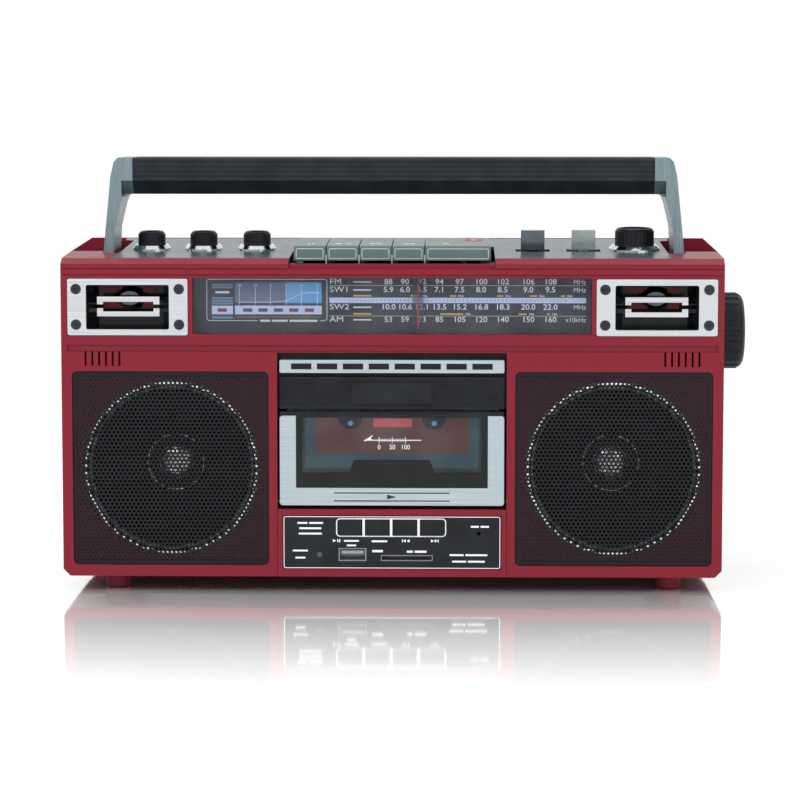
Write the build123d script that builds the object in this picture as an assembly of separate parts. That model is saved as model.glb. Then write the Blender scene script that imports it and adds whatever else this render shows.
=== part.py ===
from build123d import *
import math
import os

# Boombox, millimetres, +Z up. Below, x is measured from the middle of the case, y runs back from the
# front face and z up from the floor. PLACE moves the finished pieces so that the origin is on the floor
# under the middle of the overall size.

# Case
CASE_HALF = 165.5
CASE_DEPTH = 110.0
CASE_FLOOR = 8.0
FRONT_TOP = 165.0
LIP_BACK = 5.0
LIP_TOP = 168.0
REAR_TOP = 173.0
CORNER = 3.5
FRONT_WALL = 5.0
WALL = 2.5
TOP_WALL = 4.5
SPLIT = 40.0
FOOT_HEIGHT = 8.0
FOOT_RADIUS = 6.25
FOOT_X = 140.0
FOOT_Y = (18.0, 94.0)
SIDE_PAD = 0.8
SIDE_PAD_TOP = 156.0
SIDE_PAD_LOW = 12.0
RIB_PITCH = 7.3
RIB_COUNT = 12
GROOVE_LEVELS = (165.3, 163.0, 159.9)

VENTS = 6
VENT_X = 136.3
VENT_PITCH = 3.4
VENT_Z = (114.3, 121.5)
BACK_GROOVES = 8

# Clearances
SLIP = 0.3
SHAFT_CLEARANCE = 0.05

# Speakers
GRILLE_X = (62.0, 160.0)
GRILLE_Z = (14.0, 111.3)
GRILLE_CORNER = 2.5
WOOFER_X = 111.0
WOOFER_Z = 62.65
WOOFER_HOLE = 44.5
RING_OUTER = 43.4
RING_INNER = 41.4
CONE_OUTER = 39.0
CONE_INNER = 14.0
CONE_FRONT = 7.0
CONE_BACK = 30.0
DUST_CAP = 9.9
MAGNET_RADIUS = 27.0

# Tweeters
TWEETER_PLATE = 2.0
HORN_WALL = 1.6
TWEETER_X = (102.0, 162.2)
TWEETER_Z = (129.7, 158.0)
HORN_HALF_WIDTH = 20.8
HORN_Z = (132.6, 154.9)
HORN_DEPTH = 15.0
BAR_HALF_WIDTH = 15.65
BAR_TAB = 3.0
BAR_LEVELS = ((146.2, 148.8, 144.9), (138.9, 141.3, 142.9))
TWEETER_SCREW_X = 25.8
TWEETER_SCREW_Z = (135.0, 152.8)
SCREW_HEAD = 2.6
SCREW_SHANK = 1.2
BAR_Y = (3.6, 5.0)
DOME_RIM = (8.5, 5.8)
DOME_Z = 147.6
DOME_HEIGHT = 7.0

# Dial
DIAL_HALF = 99.3
DIAL_Z = (130.3, 158.7)
DIAL_RIM = 2.4
LENS_BACK = 7.0
SCALE_Y = 9.0
POINTER_X = 13.0
TUNING_Y = 45.0
TUNING_Z = 129.0
TUNING_RADIUS = 19.5
TUNING_FLUTES = 24
DRUM_RADIUS = 14.0
DRUM_X = (120.0, 127.0)

# Tape section
BAY_HALF = 57.4
BAY_Z = (42.2, 121.1)
BAY_DEPTH = 23.0
STEP_Z = (121.5, 124.9)
LEVEL_BAR_HALF = 56.2
LEVEL_BAR_Z = (110.9, 117.4)
LEVEL_WINDOW = (10.2, 3.0)
LEVEL_WINDOWS = 8
LEVEL_PITCH = 12.95
TAPE_PANEL_Z = (92.8, 108.7)
PANEL_RIB = 1.1
BADGE_HALF = 19.9
BADGE_Z = (95.4, 106.0)
DOOR_HALF = 56.2
DOOR_Z = (44.2, 91.4)
DOOR_Y = (1.2, 4.4)
DOOR_PIVOT = (3.6, 45.8)
PIN_RADIUS = 1.2
TRIM_ARM = 8.1
TRIM_SILL = 53.0
TRIM_TOP = 89.4
WINDOW_HALF = 45.0
WINDOW_Z = (60.4, 90.8)
NOTCH_HALF = 19.0
NOTCH_FOOT = 21.5
NOTCH_TOP = 66.9
HUB_X = 21.25
HUB_Z = 84.3
CHASSIS_Y = 24.0
CHASSIS_THICK = 2.0
SPINDLE_SHAFT = 1.5
CAPSTAN = (24.0, 100.0)
CAPSTAN_RADIUS = 1.0
PINCH_RADIUS = 4.5
BRIDGE_TRAVEL = 5.0
FLYWHEEL_RADIUS = 16.0
MOTOR = (-28.0, 98.0)
MOTOR_RADIUS = 13.0
PULLEY_RADIUS = 4.0

# Lower panel
PANEL_HALF = 54.6
PANEL_THICK = 2.0
PANEL_Z = (12.1, 38.8)
BUTTON_SIZE = (11.5, 8.0)
BUTTON_PITCH = 13.8
BUTTON_MIDDLE = (-0.35, 33.0)
PORT_PLACE = (-19.8, 19.2)
PORT_SIZE = (14.0, 6.6)
CARD_PLACE = (7.5, 17.5)
CARD_SIZE = (26.0, 3.1)
MIC_PLACE = (43.7, 30.1)

# Top controls, measured on the sloping top: u across, v back from the front lip, h above the surface
PLATE_HALF = 139.6
PLATE_REAR_HALF = 144.5
PLATE_V = (3.0, 102.0)
PLATE_STEP_V = 89.0
PLATE_THICK = 2.0
KEY_HALF = 49.4
KEY_PITCH = 16.5
KEY_GAP = 0.5
KEY_NOTCH_Z = (163.2, 165.3)
KEY_WELL_HALF = 51.5
KEY_WELL_BACK = 58.0
KEY_Y = (10.0, 60.0)
KEY_Z = (166.7, 174.0, 175.4)
KEY_AXLE = (66.0, 162.0)
KEY_AXLE_RADIUS = 1.5
RECORD_X = (36.8, 45.2)
RECORD_Y = 42.0
SMALL_KNOBS = {"mic_knob": -125.1, "bass_knob": -98.2, "treble_knob": -70.7}
VOLUME_X = 123.7
KNURLS = 28
KNOB_V = 45.5
SMALL_KNOB = (7.0, 9.2)
VOLUME_KNOB = (10.0, 11.0)
SMALL_BEZEL = 9.75
VOLUME_BEZEL = 13.2
LEVERS = {"function_lever": 71.2, "band_lever": 97.2}
LEVER_WIDTH = 12.1
LEVER_HEIGHT = 10.5
LEVER_V = (38.0, 41.5)
LEVER_SLOT = (17.4, 12.0)

# Handle
ARM_OUTER = 147.8
ARM_THICK = 4.7
HANDLE_Y = (31.0, 62.0)
HANDLE_TOP = 217.6
HANDLE_UNDER = 199.0
HANDLE_EDGE = 206.0
HANDLE_BEVEL = 7.0
GRIP_HALF = 132.7
HANDLE_PIVOT_Z = 158.0
HANDLE_PIN = 2.5
SLOT_X = (140.0, 148.6)
SLOT_BACK = 92.0
SLOT_FLOOR = 141.5

# Aerial, battery door and mains inlet
AERIAL = (150.0, 116.5, 158.0)
MAST_RADIUS = 3.0
MAST_LENGTH = 250.0
TIP_RADIUS = 1.8
COVER_HALF = 92.0
COVER_Z = (28.0, 82.0)
COVER_THICK = 2.2
BAY_FRONT_Y = 82.0
INLET = (-130.0, 34.0)

TOTAL_BACK = AERIAL[1] + MAST_RADIUS
SIDE_REACH = (-CASE_HALF - SIDE_PAD, CASE_HALF + 13.3)
PLACE = Pos(-sum(SIDE_REACH) / 2, -TOTAL_BACK / 2, 0)
TOP_ANGLE = math.degrees(math.atan((REAR_TOP - LIP_TOP) / (CASE_DEPTH - LIP_BACK)))
TOP = Location((0, LIP_BACK, LIP_TOP), (TOP_ANGLE, 0, 0))

os.makedirs("parts", exist_ok=True)


def save(name, *solids):
    """Write one node, moved into the shared frame."""
    placed = [PLACE * solid for solid in solids]
    shape = placed[0] if len(placed) == 1 else Compound(children=placed)
    export_step(shape, f"parts/{name}.step")


def span(x, y, z):
    """Box between two corners, given as (low, high) along each axis."""
    size = Box(x[1] - x[0], y[1] - y[0], z[1] - z[0])
    return Pos(sum(x) / 2, sum(y) / 2, sum(z) / 2) * size


def disc_x(y, z, radius, x):
    """Cylinder along X between x[0] and x[1]."""
    return Pos(sum(x) / 2, y, z) * Rot(0, 90, 0) * Cylinder(radius, x[1] - x[0])


def disc_y(x, z, radius, y):
    """Cylinder along Y between y[0] and y[1]."""
    return Pos(x, sum(y) / 2, z) * Rot(90, 0, 0) * Cylinder(radius, y[1] - y[0])


def disc_z(x, y, radius, z):
    """Cylinder along Z between z[0] and z[1]."""
    return Pos(x, y, sum(z) / 2) * Cylinder(radius, z[1] - z[0])


def side_prism(points, x):
    """Closed outline in (y, z), extruded along X."""
    face = make_face(Polyline(*points, close=True))
    return extrude(Plane.YZ.offset(x[0]) * face, amount=x[1] - x[0])


def front_prism(face, y):
    """Face drawn in (x, z), extruded along Y."""
    plane = Plane(origin=(0, y[1], 0), x_dir=(1, 0, 0), z_dir=(0, -1, 0))
    return extrude(plane * face, amount=y[1] - y[0])


def rounded_front(x, z, radius, y):
    """Plate facing the front with rounded corners."""
    face = Pos(sum(x) / 2, sum(z) / 2) * RectangleRounded(x[1] - x[0], z[1] - z[0], radius)
    return front_prism(face, y)


def turned_y(points, x, z):
    """Solid of revolution about the Y axis through (x, z); points are (radius, y)."""
    face = make_face(Polyline(*points, close=True))
    return Pos(x, 0, z) * revolve(face, axis=Axis.Y)


def turned_z(points):
    """Solid of revolution about Z; points are (radius, z)."""
    face = Plane.XZ * make_face(Polyline(*points, close=True))
    return revolve(face, axis=Axis.Z)


def mirror_x(shape):
    """The same shape on the other side of the middle."""
    return mirror(shape, about=Plane.YZ)


def top_level(y):
    """Height of the sloping top at a distance y behind the front face."""
    return LIP_TOP + (y - LIP_BACK) * (REAR_TOP - LIP_TOP) / (CASE_DEPTH - LIP_BACK)


def top_outline():
    """Outline of the control plate on the sloping top, with its key notch."""
    half = [
        (KEY_WELL_HALF, PLATE_V[0]),
        (PLATE_HALF, PLATE_V[0]),
        (PLATE_HALF, PLATE_STEP_V),
        (PLATE_REAR_HALF, PLATE_STEP_V + 3),
        (PLATE_REAR_HALF, PLATE_V[1]),
    ]
    other = [(-u, v) for u, v in reversed(half)]
    notch = [(-KEY_WELL_HALF, KEY_WELL_BACK), (KEY_WELL_HALF, KEY_WELL_BACK)]
    return make_face(Polyline(*half, *other, *notch, close=True))


def on_top(face, h):
    """Face drawn in (u, v) on the sloping top, extruded between two heights."""
    return TOP * Pos(0, 0, h[0]) * extrude(face, amount=h[1] - h[0])


def top_block(u, v, h):
    """Box on the sloping top."""
    return TOP * span(u, v, h)


def case_block():
    """Outside shape of the whole case."""
    profile = [
        (0, CASE_FLOOR),
        (0, FRONT_TOP),
        (LIP_BACK, LIP_TOP),
        (CASE_DEPTH, REAR_TOP),
        (CASE_DEPTH, CASE_FLOOR),
    ]
    outline = Polyline(
        (-CASE_HALF + CORNER, CASE_FLOOR),
        (CASE_HALF - CORNER, CASE_FLOOR),
        (CASE_HALF, CASE_FLOOR + CORNER),
        (CASE_HALF, REAR_TOP - CORNER),
        (CASE_HALF - 1.5, REAR_TOP),
        (-CASE_HALF + 1.5, REAR_TOP),
        (-CASE_HALF, REAR_TOP - CORNER),
        (-CASE_HALF, CASE_FLOOR + CORNER),
        close=True,
    )
    across = (-CASE_HALF, CASE_HALF)
    return side_prism(profile, across) & front_prism(make_face(outline), (0, CASE_DEPTH))


def case_hollow():
    """Space inside the case."""
    back = CASE_DEPTH - WALL
    profile = [
        (FRONT_WALL, CASE_FLOOR + WALL),
        (FRONT_WALL, top_level(FRONT_WALL) - TOP_WALL),
        (back, top_level(back) - TOP_WALL),
        (back, CASE_FLOOR + WALL),
    ]
    return side_prism(profile, (-CASE_HALF + WALL, CASE_HALF - WALL))


def side_pads():
    """Ribbed panels standing just proud of both side walls."""
    pads = []
    for side in (-1, 1):
        x = sorted((side * CASE_HALF, side * (CASE_HALF + SIDE_PAD)))
        pad = span(x, (12, CASE_DEPTH - 6), (SIDE_PAD_LOW, SIDE_PAD_TOP))
        for row in range(RIB_COUNT):
            level = SIDE_PAD_LOW + 5 + row * RIB_PITCH
            pad -= span(x, (12, CASE_DEPTH - 6), (level, level + 1.4))
        pads += pad.solids()
    return pads


def handle_pockets():
    """Walled pockets that the handle's feet swing in."""
    pockets = []
    for side in (-1, 1):
        x = sorted((side * (SLOT_X[0] - 2), side * (SLOT_X[1] + 2)))
        pockets.append(span(x, (HANDLE_Y[0] - 2.5, SLOT_BACK + 2), (SLOT_FLOOR - 2, LIP_TOP)))
    return pockets


def top_openings():
    """Everything cut out of the top of the case."""
    cuts = [on_top(top_outline(), (-PLATE_THICK, 5))]
    cuts.append(top_block((-134, 134), (8, 96), (-8, 5)))
    cuts.append(span((-KEY_WELL_HALF, KEY_WELL_HALF), (8.5, 68), (158, 185)))
    for side in (-1, 1):
        x = sorted((side * SLOT_X[0], side * SLOT_X[1]))
        cuts.append(span(x, (HANDLE_Y[0] - 0.5, SLOT_BACK), (SLOT_FLOOR, 185)))
    return cuts


def whole_case():
    """Hollow case with its side panels, handle pockets and top openings."""
    case = case_block() - case_hollow()
    for piece in side_pads() + handle_pockets():
        case += piece
    for cut in top_openings():
        case -= cut
    return case


def speaker_openings():
    """Grille wells and woofer holes."""
    x = (GRILLE_X[0] - SLIP, GRILLE_X[1] + SLIP)
    z = (GRILLE_Z[0] - SLIP, GRILLE_Z[1] + SLIP)
    well = rounded_front(x, z, GRILLE_CORNER + SLIP, (-1, 2.2))
    hole = disc_y(WOOFER_X, WOOFER_Z, WOOFER_HOLE, (-1, FRONT_WALL + 1))
    return [well, hole, mirror_x(well), mirror_x(hole)]


def tweeter_screw_places(side):
    """Where the four screws of one tweeter plate go, as (x, z)."""
    middle = side * sum(TWEETER_X) / 2
    return [(middle + dx, z) for dx in (-TWEETER_SCREW_X, TWEETER_SCREW_X) for z in TWEETER_SCREW_Z]


def tweeter_openings():
    """Recesses for the tweeter plates with their horn holes."""
    x = (TWEETER_X[0] - SLIP, TWEETER_X[1] + SLIP)
    z = (TWEETER_Z[0] - SLIP, TWEETER_Z[1] + SLIP)
    recess = rounded_front(x, z, 1, (-1, TWEETER_PLATE))
    middle = sum(TWEETER_X) / 2
    reach = HORN_HALF_WIDTH + HORN_WALL + SLIP
    hole_z = (HORN_Z[0] - HORN_WALL - SLIP, HORN_Z[1] + HORN_WALL + SLIP)
    hole = span((middle - reach, middle + reach), (-1, FRONT_WALL + 1), hole_z)
    cuts = [recess, hole]
    for x_screw, z_screw in tweeter_screw_places(1):
        cuts.append(disc_y(x_screw, z_screw, SCREW_SHANK + SHAFT_CLEARANCE, (0, FRONT_WALL + 1)))
    return cuts + [mirror_x(cut) for cut in cuts]


def front_openings():
    """Dial window, tape bay, panel opening, vents and decorative lines of the front."""
    across = (-CASE_HALF - 1, CASE_HALF + 1)
    through = (-1, FRONT_WALL + 1)
    cuts = [rounded_front((-DIAL_HALF - SLIP, DIAL_HALF + SLIP), DIAL_Z, 1, through)]
    cuts.append(span((-BAY_HALF, BAY_HALF), (-1, BAY_DEPTH), BAY_Z))
    cuts.append(span((-CASE_HALF + 3, CASE_HALF - 3), (-1, 1.2), STEP_Z))
    panel_x = (-PANEL_HALF - SLIP, PANEL_HALF + SLIP)
    panel_z = (PANEL_Z[0] - SLIP, PANEL_Z[1] + SLIP)
    cuts.append(rounded_front(panel_x, panel_z, 1, (-1, PANEL_THICK)))
    cuts.append(span((-PANEL_HALF + 4, PANEL_HALF - 4), through, (PANEL_Z[0] + 2, PANEL_Z[1] - 1)))
    for level in GROOVE_LEVELS:
        cuts.append(span(across, (-1, 0.6), (level - 0.3, level + 0.3)))
    for side in (-1, 1):
        seam = side * (BAY_HALF + 0.1)
        cuts.append(span((seam - 0.25, seam + 0.25), (-1, 0.6), (CASE_FLOOR, BAY_Z[0])))
        for slot in range(VENTS):
            vent = side * (VENT_X + slot * VENT_PITCH)
            cuts.append(span((vent - 0.5, vent + 0.5), through, VENT_Z))
    return cuts


def key_notch():
    """Cut in the front lip that shows the fronts of the keys."""
    lip = span((-KEY_WELL_HALF, KEY_WELL_HALF), (-1, 9), (KEY_NOTCH_Z[1], 185))
    outline = Polyline(
        (-KEY_WELL_HALF, KEY_NOTCH_Z[0]), (KEY_WELL_HALF, KEY_NOTCH_Z[0]),
        (KEY_WELL_HALF + 2.5, 185), (-KEY_WELL_HALF - 2.5, 185), close=True,
    )
    return [lip, front_prism(make_face(outline), (-1, 3))]


def tape_bay():
    """Block that becomes the walls of the tape bay."""
    depth = (FRONT_WALL - 1, BAY_DEPTH)
    return span((-BAY_HALF - 2, BAY_HALF + 2), depth, (BAY_Z[0] - 2, BAY_Z[1] + 2))


def front_shell():
    """Front moulding: everything ahead of the split, with its openings."""
    shell = whole_case() & span((-200, 200), (-5, SPLIT), (0, 200))
    shell += tape_bay()
    for cut in speaker_openings() + tweeter_openings() + front_openings() + key_notch():
        shell -= cut
    pivot = disc_x(*DOOR_PIVOT, PIN_RADIUS + SHAFT_CLEARANCE, (-BAY_HALF - 1.6, BAY_HALF + 1.6))
    tuning = disc_x(TUNING_Y, TUNING_Z, 7, (CASE_HALF - 4, CASE_HALF + 2))
    return shell - pivot - tuning


def rear_shell():
    """Rear moulding with its ribbed back, battery bay, mains opening and aerial mount."""
    shell = whole_case() & span((-200, 200), (SPLIT, CASE_DEPTH + 1), (0, 200))
    tray = span((-COVER_HALF - 3, COVER_HALF + 3), (BAY_FRONT_Y - WALL, CASE_DEPTH - 1),
                (COVER_Z[0] - 3, COVER_Z[1] + 3))
    shell += tray
    shell -= span((-COVER_HALF + 3, COVER_HALF - 3), (BAY_FRONT_Y, CASE_DEPTH + 1),
                  (COVER_Z[0] + 3, COVER_Z[1] - 3))
    shell -= span((-COVER_HALF, COVER_HALF), (CASE_DEPTH - COVER_THICK, CASE_DEPTH + 1), COVER_Z)
    shell -= disc_x(TUNING_Y, TUNING_Z, 7, (CASE_HALF - 4, CASE_HALF + 2))
    shell -= span((INLET[0] - 11, INLET[0] + 11), (CASE_DEPTH - 4, CASE_DEPTH + 1),
                  (INLET[1] - 7, INLET[1] + 7))
    for row in range(BACK_GROOVES):
        level = COVER_Z[1] + 12 + row * RIB_PITCH
        shell -= span((-120, 120), (CASE_DEPTH - 0.7, CASE_DEPTH + 1), (level, level + 1.4))
    for side in (-1, 1):
        x = sorted((side * (SLOT_X[0] - 1), side * (SLOT_X[1] + 1)))
        middle_y = sum(HANDLE_Y) / 2
        shell += disc_x(middle_y, HANDLE_PIVOT_Z, HANDLE_PIN, x)
    lug = disc_y(AERIAL[0], AERIAL[2], 7, (CASE_DEPTH - 0.5, AERIAL[1] - MAST_RADIUS - SLIP))
    return shell + lug


save("front_shell", front_shell())
save("rear_shell", rear_shell())


def battery_cover():
    """Lift-off door of the battery bay with finger ribs."""
    cover = span((-COVER_HALF + SLIP, COVER_HALF - SLIP), (CASE_DEPTH - COVER_THICK, CASE_DEPTH),
                 (COVER_Z[0] + SLIP, COVER_Z[1] - SLIP))
    for row in range(5):
        level = COVER_Z[1] - 16 + row * 2.2
        cover -= span((-14, 14), (CASE_DEPTH - 0.6, CASE_DEPTH + 1), (level, level + 1.0))
    return cover


def foot(x, y):
    """Round foot under the case, tapered to its rounded sole."""
    outline = [
        (0, 0), (FOOT_RADIUS - 1.2, 0), (FOOT_RADIUS - 0.3, 0.4), (FOOT_RADIUS, 1.4),
        (FOOT_RADIUS, FOOT_HEIGHT), (0, FOOT_HEIGHT),
    ]
    return Pos(x, y, 0) * turned_z(outline)


def screw(x, z):
    """Cross-head screw in the face of a tweeter plate."""
    head = disc_y(x, z, SCREW_HEAD, (0.2, 1.4))
    shank = disc_y(x, z, SCREW_SHANK, (1.4, 4.4))
    slot = span((x - 1.5, x + 1.5), (-1, 0.7), (z - 0.3, z + 0.3))
    cross = span((x - 0.3, x + 0.3), (-1, 0.7), (z - 1.5, z + 1.5))
    return head + shank - slot - cross


save("battery_cover", battery_cover())
save("feet", *[foot(side * FOOT_X, y) for side in (-1, 1) for y in FOOT_Y])
save("screws", *[screw(x, z) for side in (-1, 1) for x, z in tweeter_screw_places(side)])


def tweeter_frame():
    """Right tweeter plate with its two bars standing in the horn's mouth."""
    middle = sum(TWEETER_X) / 2
    plate = rounded_front(TWEETER_X, TWEETER_Z, 1, (0, TWEETER_PLATE))
    mouth = (middle - HORN_HALF_WIDTH, middle + HORN_HALF_WIDTH)
    plate -= rounded_front(mouth, HORN_Z, 1, (-1, 3))
    for x, z in tweeter_screw_places(1):
        plate -= disc_y(x, z, SCREW_HEAD + SHAFT_CLEARANCE, (-1, 3))
    bars = []
    for low, high, tab_end in BAR_LEVELS:
        bar = span((middle - BAR_HALF_WIDTH, middle + BAR_HALF_WIDTH), BAR_Y, (low, high))
        for side in (-1, 1):
            x = sorted((middle + side * BAR_HALF_WIDTH, middle + side * (BAR_HALF_WIDTH - BAR_TAB)))
            bar += span(x, BAR_Y, (min(low, tab_end), max(high, tab_end)))
        bars.append(bar)
    return [plate, *bars]


def tweeter_horn():
    """Right horn: tapered box behind the plate, with arms that carry the bars."""
    middle = sum(TWEETER_X) / 2
    level = sum(HORN_Z) / 2
    half_height = (HORN_Z[1] - HORN_Z[0]) / 2
    back = TWEETER_PLATE + HORN_DEPTH
    outer = span(
        (middle - HORN_HALF_WIDTH - HORN_WALL, middle + HORN_HALF_WIDTH + HORN_WALL),
        (TWEETER_PLATE, back + HORN_WALL),
        (level - half_height - HORN_WALL, level + half_height + HORN_WALL),
    )
    mouth = Plane.XZ.offset(-TWEETER_PLATE) * Rectangle(2 * HORN_HALF_WIDTH, 2 * half_height)
    throat = Plane.XZ.offset(-back) * Rectangle(2 * HORN_HALF_WIDTH - 9, 2 * half_height - 2)
    horn = outer - Pos(middle, 0, level) * loft([mouth.face(), throat.face()])
    for low, high, tab_end in BAR_LEVELS:
        for side in (-1, 1):
            x = sorted((middle + side * (BAR_HALF_WIDTH - 1), middle + side * (HORN_HALF_WIDTH + 0.5)))
            horn += span(x, (BAR_Y[1], BAR_Y[1] + 2), sorted((tab_end, tab_end + (low - tab_end) / 2)))
    return horn


def tweeter_dome():
    """Oval chrome dome in the throat of the right horn."""
    back = TWEETER_PLATE + HORN_DEPTH
    rim = Plane.XZ.offset(-back) * Ellipse(*DOME_RIM)
    crown = Plane.XZ.offset(-back + DOME_HEIGHT) * Ellipse(DOME_RIM[0] * 0.6, DOME_RIM[1] * 0.6)
    return Pos(sum(TWEETER_X) / 2, 0, DOME_Z) * loft([rim.face(), crown.face()])


frame_right = tweeter_frame()
save("tweeter_frame_right", *frame_right)
save("tweeter_frame_left", *[mirror_x(piece) for piece in frame_right])
save("tweeter_horns", tweeter_horn(), mirror_x(tweeter_horn()))
save("tweeter_domes", tweeter_dome(), mirror_x(tweeter_dome()))


def grille():
    """Flat grille of the right speaker."""
    return rounded_front(GRILLE_X, GRILLE_Z, GRILLE_CORNER, (1.0, 2.0))


def trim_ring():
    """Ring round the right woofer, behind the grille."""
    outline = [(RING_INNER, FRONT_WALL), (RING_INNER, 3.6), (RING_INNER + 1, 2.8),
               (RING_OUTER, 2.8), (RING_OUTER, FRONT_WALL)]
    return turned_y(outline, WOOFER_X, WOOFER_Z)


def basket():
    """Basket and magnet of the right woofer."""
    outline = [
        (CONE_OUTER + 1.2, FRONT_WALL), (47.0, FRONT_WALL), (47.0, 7.5), (44.0, 7.5),
        (30.0, 38.0), (MAGNET_RADIUS, 38.0), (MAGNET_RADIUS, 54.0), (0, 54.0), (0, 40.0),
        (CONE_INNER + 2, 40.0), (CONE_INNER + 6, 36.0), (42.0, 12.0), (CONE_OUTER + 1.2, 8.5),
    ]
    return turned_y(outline, WOOFER_X, WOOFER_Z)


def cone(x):
    """Paper cone with its dust cap and voice coil tube."""
    outline = [
        (CONE_OUTER, CONE_FRONT), (CONE_OUTER, CONE_FRONT + 1), (CONE_INNER, CONE_BACK + 1.5),
        (CONE_INNER - 3, CONE_BACK + 1.5), (CONE_INNER - 3, CONE_BACK + 6), (0, CONE_BACK + 6),
        (0, CONE_BACK - 5.0), (DUST_CAP * 0.55, CONE_BACK - 4.0), (DUST_CAP * 0.85, CONE_BACK - 2.2),
        (DUST_CAP, CONE_BACK), (CONE_INNER, CONE_BACK),
    ]
    return turned_y(outline, x, WOOFER_Z)


save("speaker_grilles", grille(), mirror_x(grille()))
save("trim_rings", trim_ring(), mirror_x(trim_ring()))
save("woofer_baskets", basket(), mirror_x(basket()))
save("woofer_cone_right", cone(WOOFER_X))
save("woofer_cone_left", cone(-WOOFER_X))


def dial_lens():
    """Clear cover of the dial: a shallow tray with its open side to the back."""
    x = (-DIAL_HALF, DIAL_HALF)
    z = (DIAL_Z[0] + 0.1, DIAL_Z[1] - 0.1)
    tray = rounded_front(x, z, 1, (0.4, LENS_BACK))
    inner_x = (x[0] + DIAL_RIM, x[1] - DIAL_RIM)
    inner_z = (z[0] + DIAL_RIM, z[1] - DIAL_RIM)
    return tray - span(inner_x, (2.0, LENS_BACK + 1), inner_z)


def dial_pointer():
    """Needle on its clear carrier, with the slider that runs behind the rim."""
    z = (DIAL_Z[0] + DIAL_RIM + 0.6, DIAL_Z[1] - DIAL_RIM - 0.6)
    x = (POINTER_X - 2.65, POINTER_X + 2.65)
    carrier = span(x, (4.2, 5.0), z)
    needle = span((POINTER_X - 0.35, POINTER_X + 0.35), (3.8, 4.2), z)
    arm = span(x, (5.0, 8.4), (z[1] - 1.6, z[1]))
    slider = span(x, (LENS_BACK + SLIP, 8.6), (z[1] - 1.6, z[1] + 4))
    return carrier + needle + arm + slider


def tuning_knob():
    """Fluted tuning knob with its shaft running in from the side."""
    start = CASE_HALF + SIDE_PAD + 0.5
    reach = start + 12
    outline = [(0, 0), (TUNING_RADIUS, 0), (TUNING_RADIUS, 8.5), (TUNING_RADIUS - 1.2, 10.8),
               (TUNING_RADIUS - 3.2, 12), (0, 12)]
    knob = Pos(start, 0, 0) * Rot(0, 90, 0) * turned_z(outline)
    knob -= disc_x(0, 0, TUNING_RADIUS - 5, (reach - 0.8, reach + 1))
    for flute in range(TUNING_FLUTES):
        angle = 360 / TUNING_FLUTES * flute
        knob -= Rot(angle, 0, 0) * disc_x(0, TUNING_RADIUS + 1.0, 1.8, (start - 1, reach + 1))
    shaft = disc_x(0, 0, 3, (DRUM_X[0] - 6, start + 1))
    return Pos(0, TUNING_Y, TUNING_Z) * (knob + shaft)


def dial_drum():
    """Grooved drum that winds the dial cord."""
    outline = [
        (3 + SHAFT_CLEARANCE, DRUM_X[0]), (DRUM_RADIUS + 1.5, DRUM_X[0]),
        (DRUM_RADIUS + 1.5, DRUM_X[0] + 1.2), (DRUM_RADIUS, DRUM_X[0] + 1.8),
        (DRUM_RADIUS, DRUM_X[1] - 1.8), (DRUM_RADIUS + 1.5, DRUM_X[1] - 1.2),
        (DRUM_RADIUS + 1.5, DRUM_X[1]), (3 + SHAFT_CLEARANCE, DRUM_X[1]),
    ]
    return Pos(0, TUNING_Y, TUNING_Z) * Rot(0, 90, 0) * turned_z(outline)


save("dial_lens", dial_lens())
save("dial_scale_plate", span((-106, 106), (SCALE_Y, SCALE_Y + 1.5), (127.5, 160.5)))
save("dial_pointer", dial_pointer())
save("tuning_knob", tuning_knob())
save("dial_drum", dial_drum())


def level_bar():
    """Bright bar above the tape section, with a row of lamp windows."""
    bar = rounded_front((-LEVEL_BAR_HALF, LEVEL_BAR_HALF), LEVEL_BAR_Z, 0.8, (1.0, 5.0))
    middle = sum(LEVEL_BAR_Z) / 2
    for window in range(LEVEL_WINDOWS):
        x = (window - (LEVEL_WINDOWS - 1) / 2) * LEVEL_PITCH
        half = LEVEL_WINDOW[0] / 2
        z = (middle - LEVEL_WINDOW[1] / 2, middle + LEVEL_WINDOW[1] / 2)
        bar -= span((x - half, x + half), (0, 2.2), z)
    return bar


def tape_panel():
    """Finely ribbed panel above the tape door, with a plain badge plate and a backing."""
    panel = span((-LEVEL_BAR_HALF, LEVEL_BAR_HALF), (2.0, 5.0), TAPE_PANEL_Z)
    ribs = int((TAPE_PANEL_Z[1] - TAPE_PANEL_Z[0]) / PANEL_RIB)
    for rib in range(1, ribs):
        level = TAPE_PANEL_Z[0] + rib * PANEL_RIB
        panel -= span((-LEVEL_BAR_HALF - 1, LEVEL_BAR_HALF + 1), (1, 2.4), (level, level + 0.5))
    panel += rounded_front((-BADGE_HALF, BADGE_HALF), BADGE_Z, 0.8, (1.6, 3.0))
    backing = span((-BAY_HALF + SLIP, BAY_HALF - SLIP), (5.0, 7.0), (TAPE_PANEL_Z[0], BAY_Z[1] - SLIP))
    return panel + backing


def window_outline(grow):
    """Outline of the tape door's window, with the raised notch at its foot."""
    points = [
        (-WINDOW_HALF, WINDOW_Z[0]), (-NOTCH_FOOT, WINDOW_Z[0]), (-NOTCH_HALF, NOTCH_TOP),
        (NOTCH_HALF, NOTCH_TOP), (NOTCH_FOOT, WINDOW_Z[0]), (WINDOW_HALF, WINDOW_Z[0]),
        (WINDOW_HALF, WINDOW_Z[1]), (-WINDOW_HALF, WINDOW_Z[1]),
    ]
    face = make_face(Polyline(*points, close=True))
    return offset(face, amount=grow) if grow else face


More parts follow.
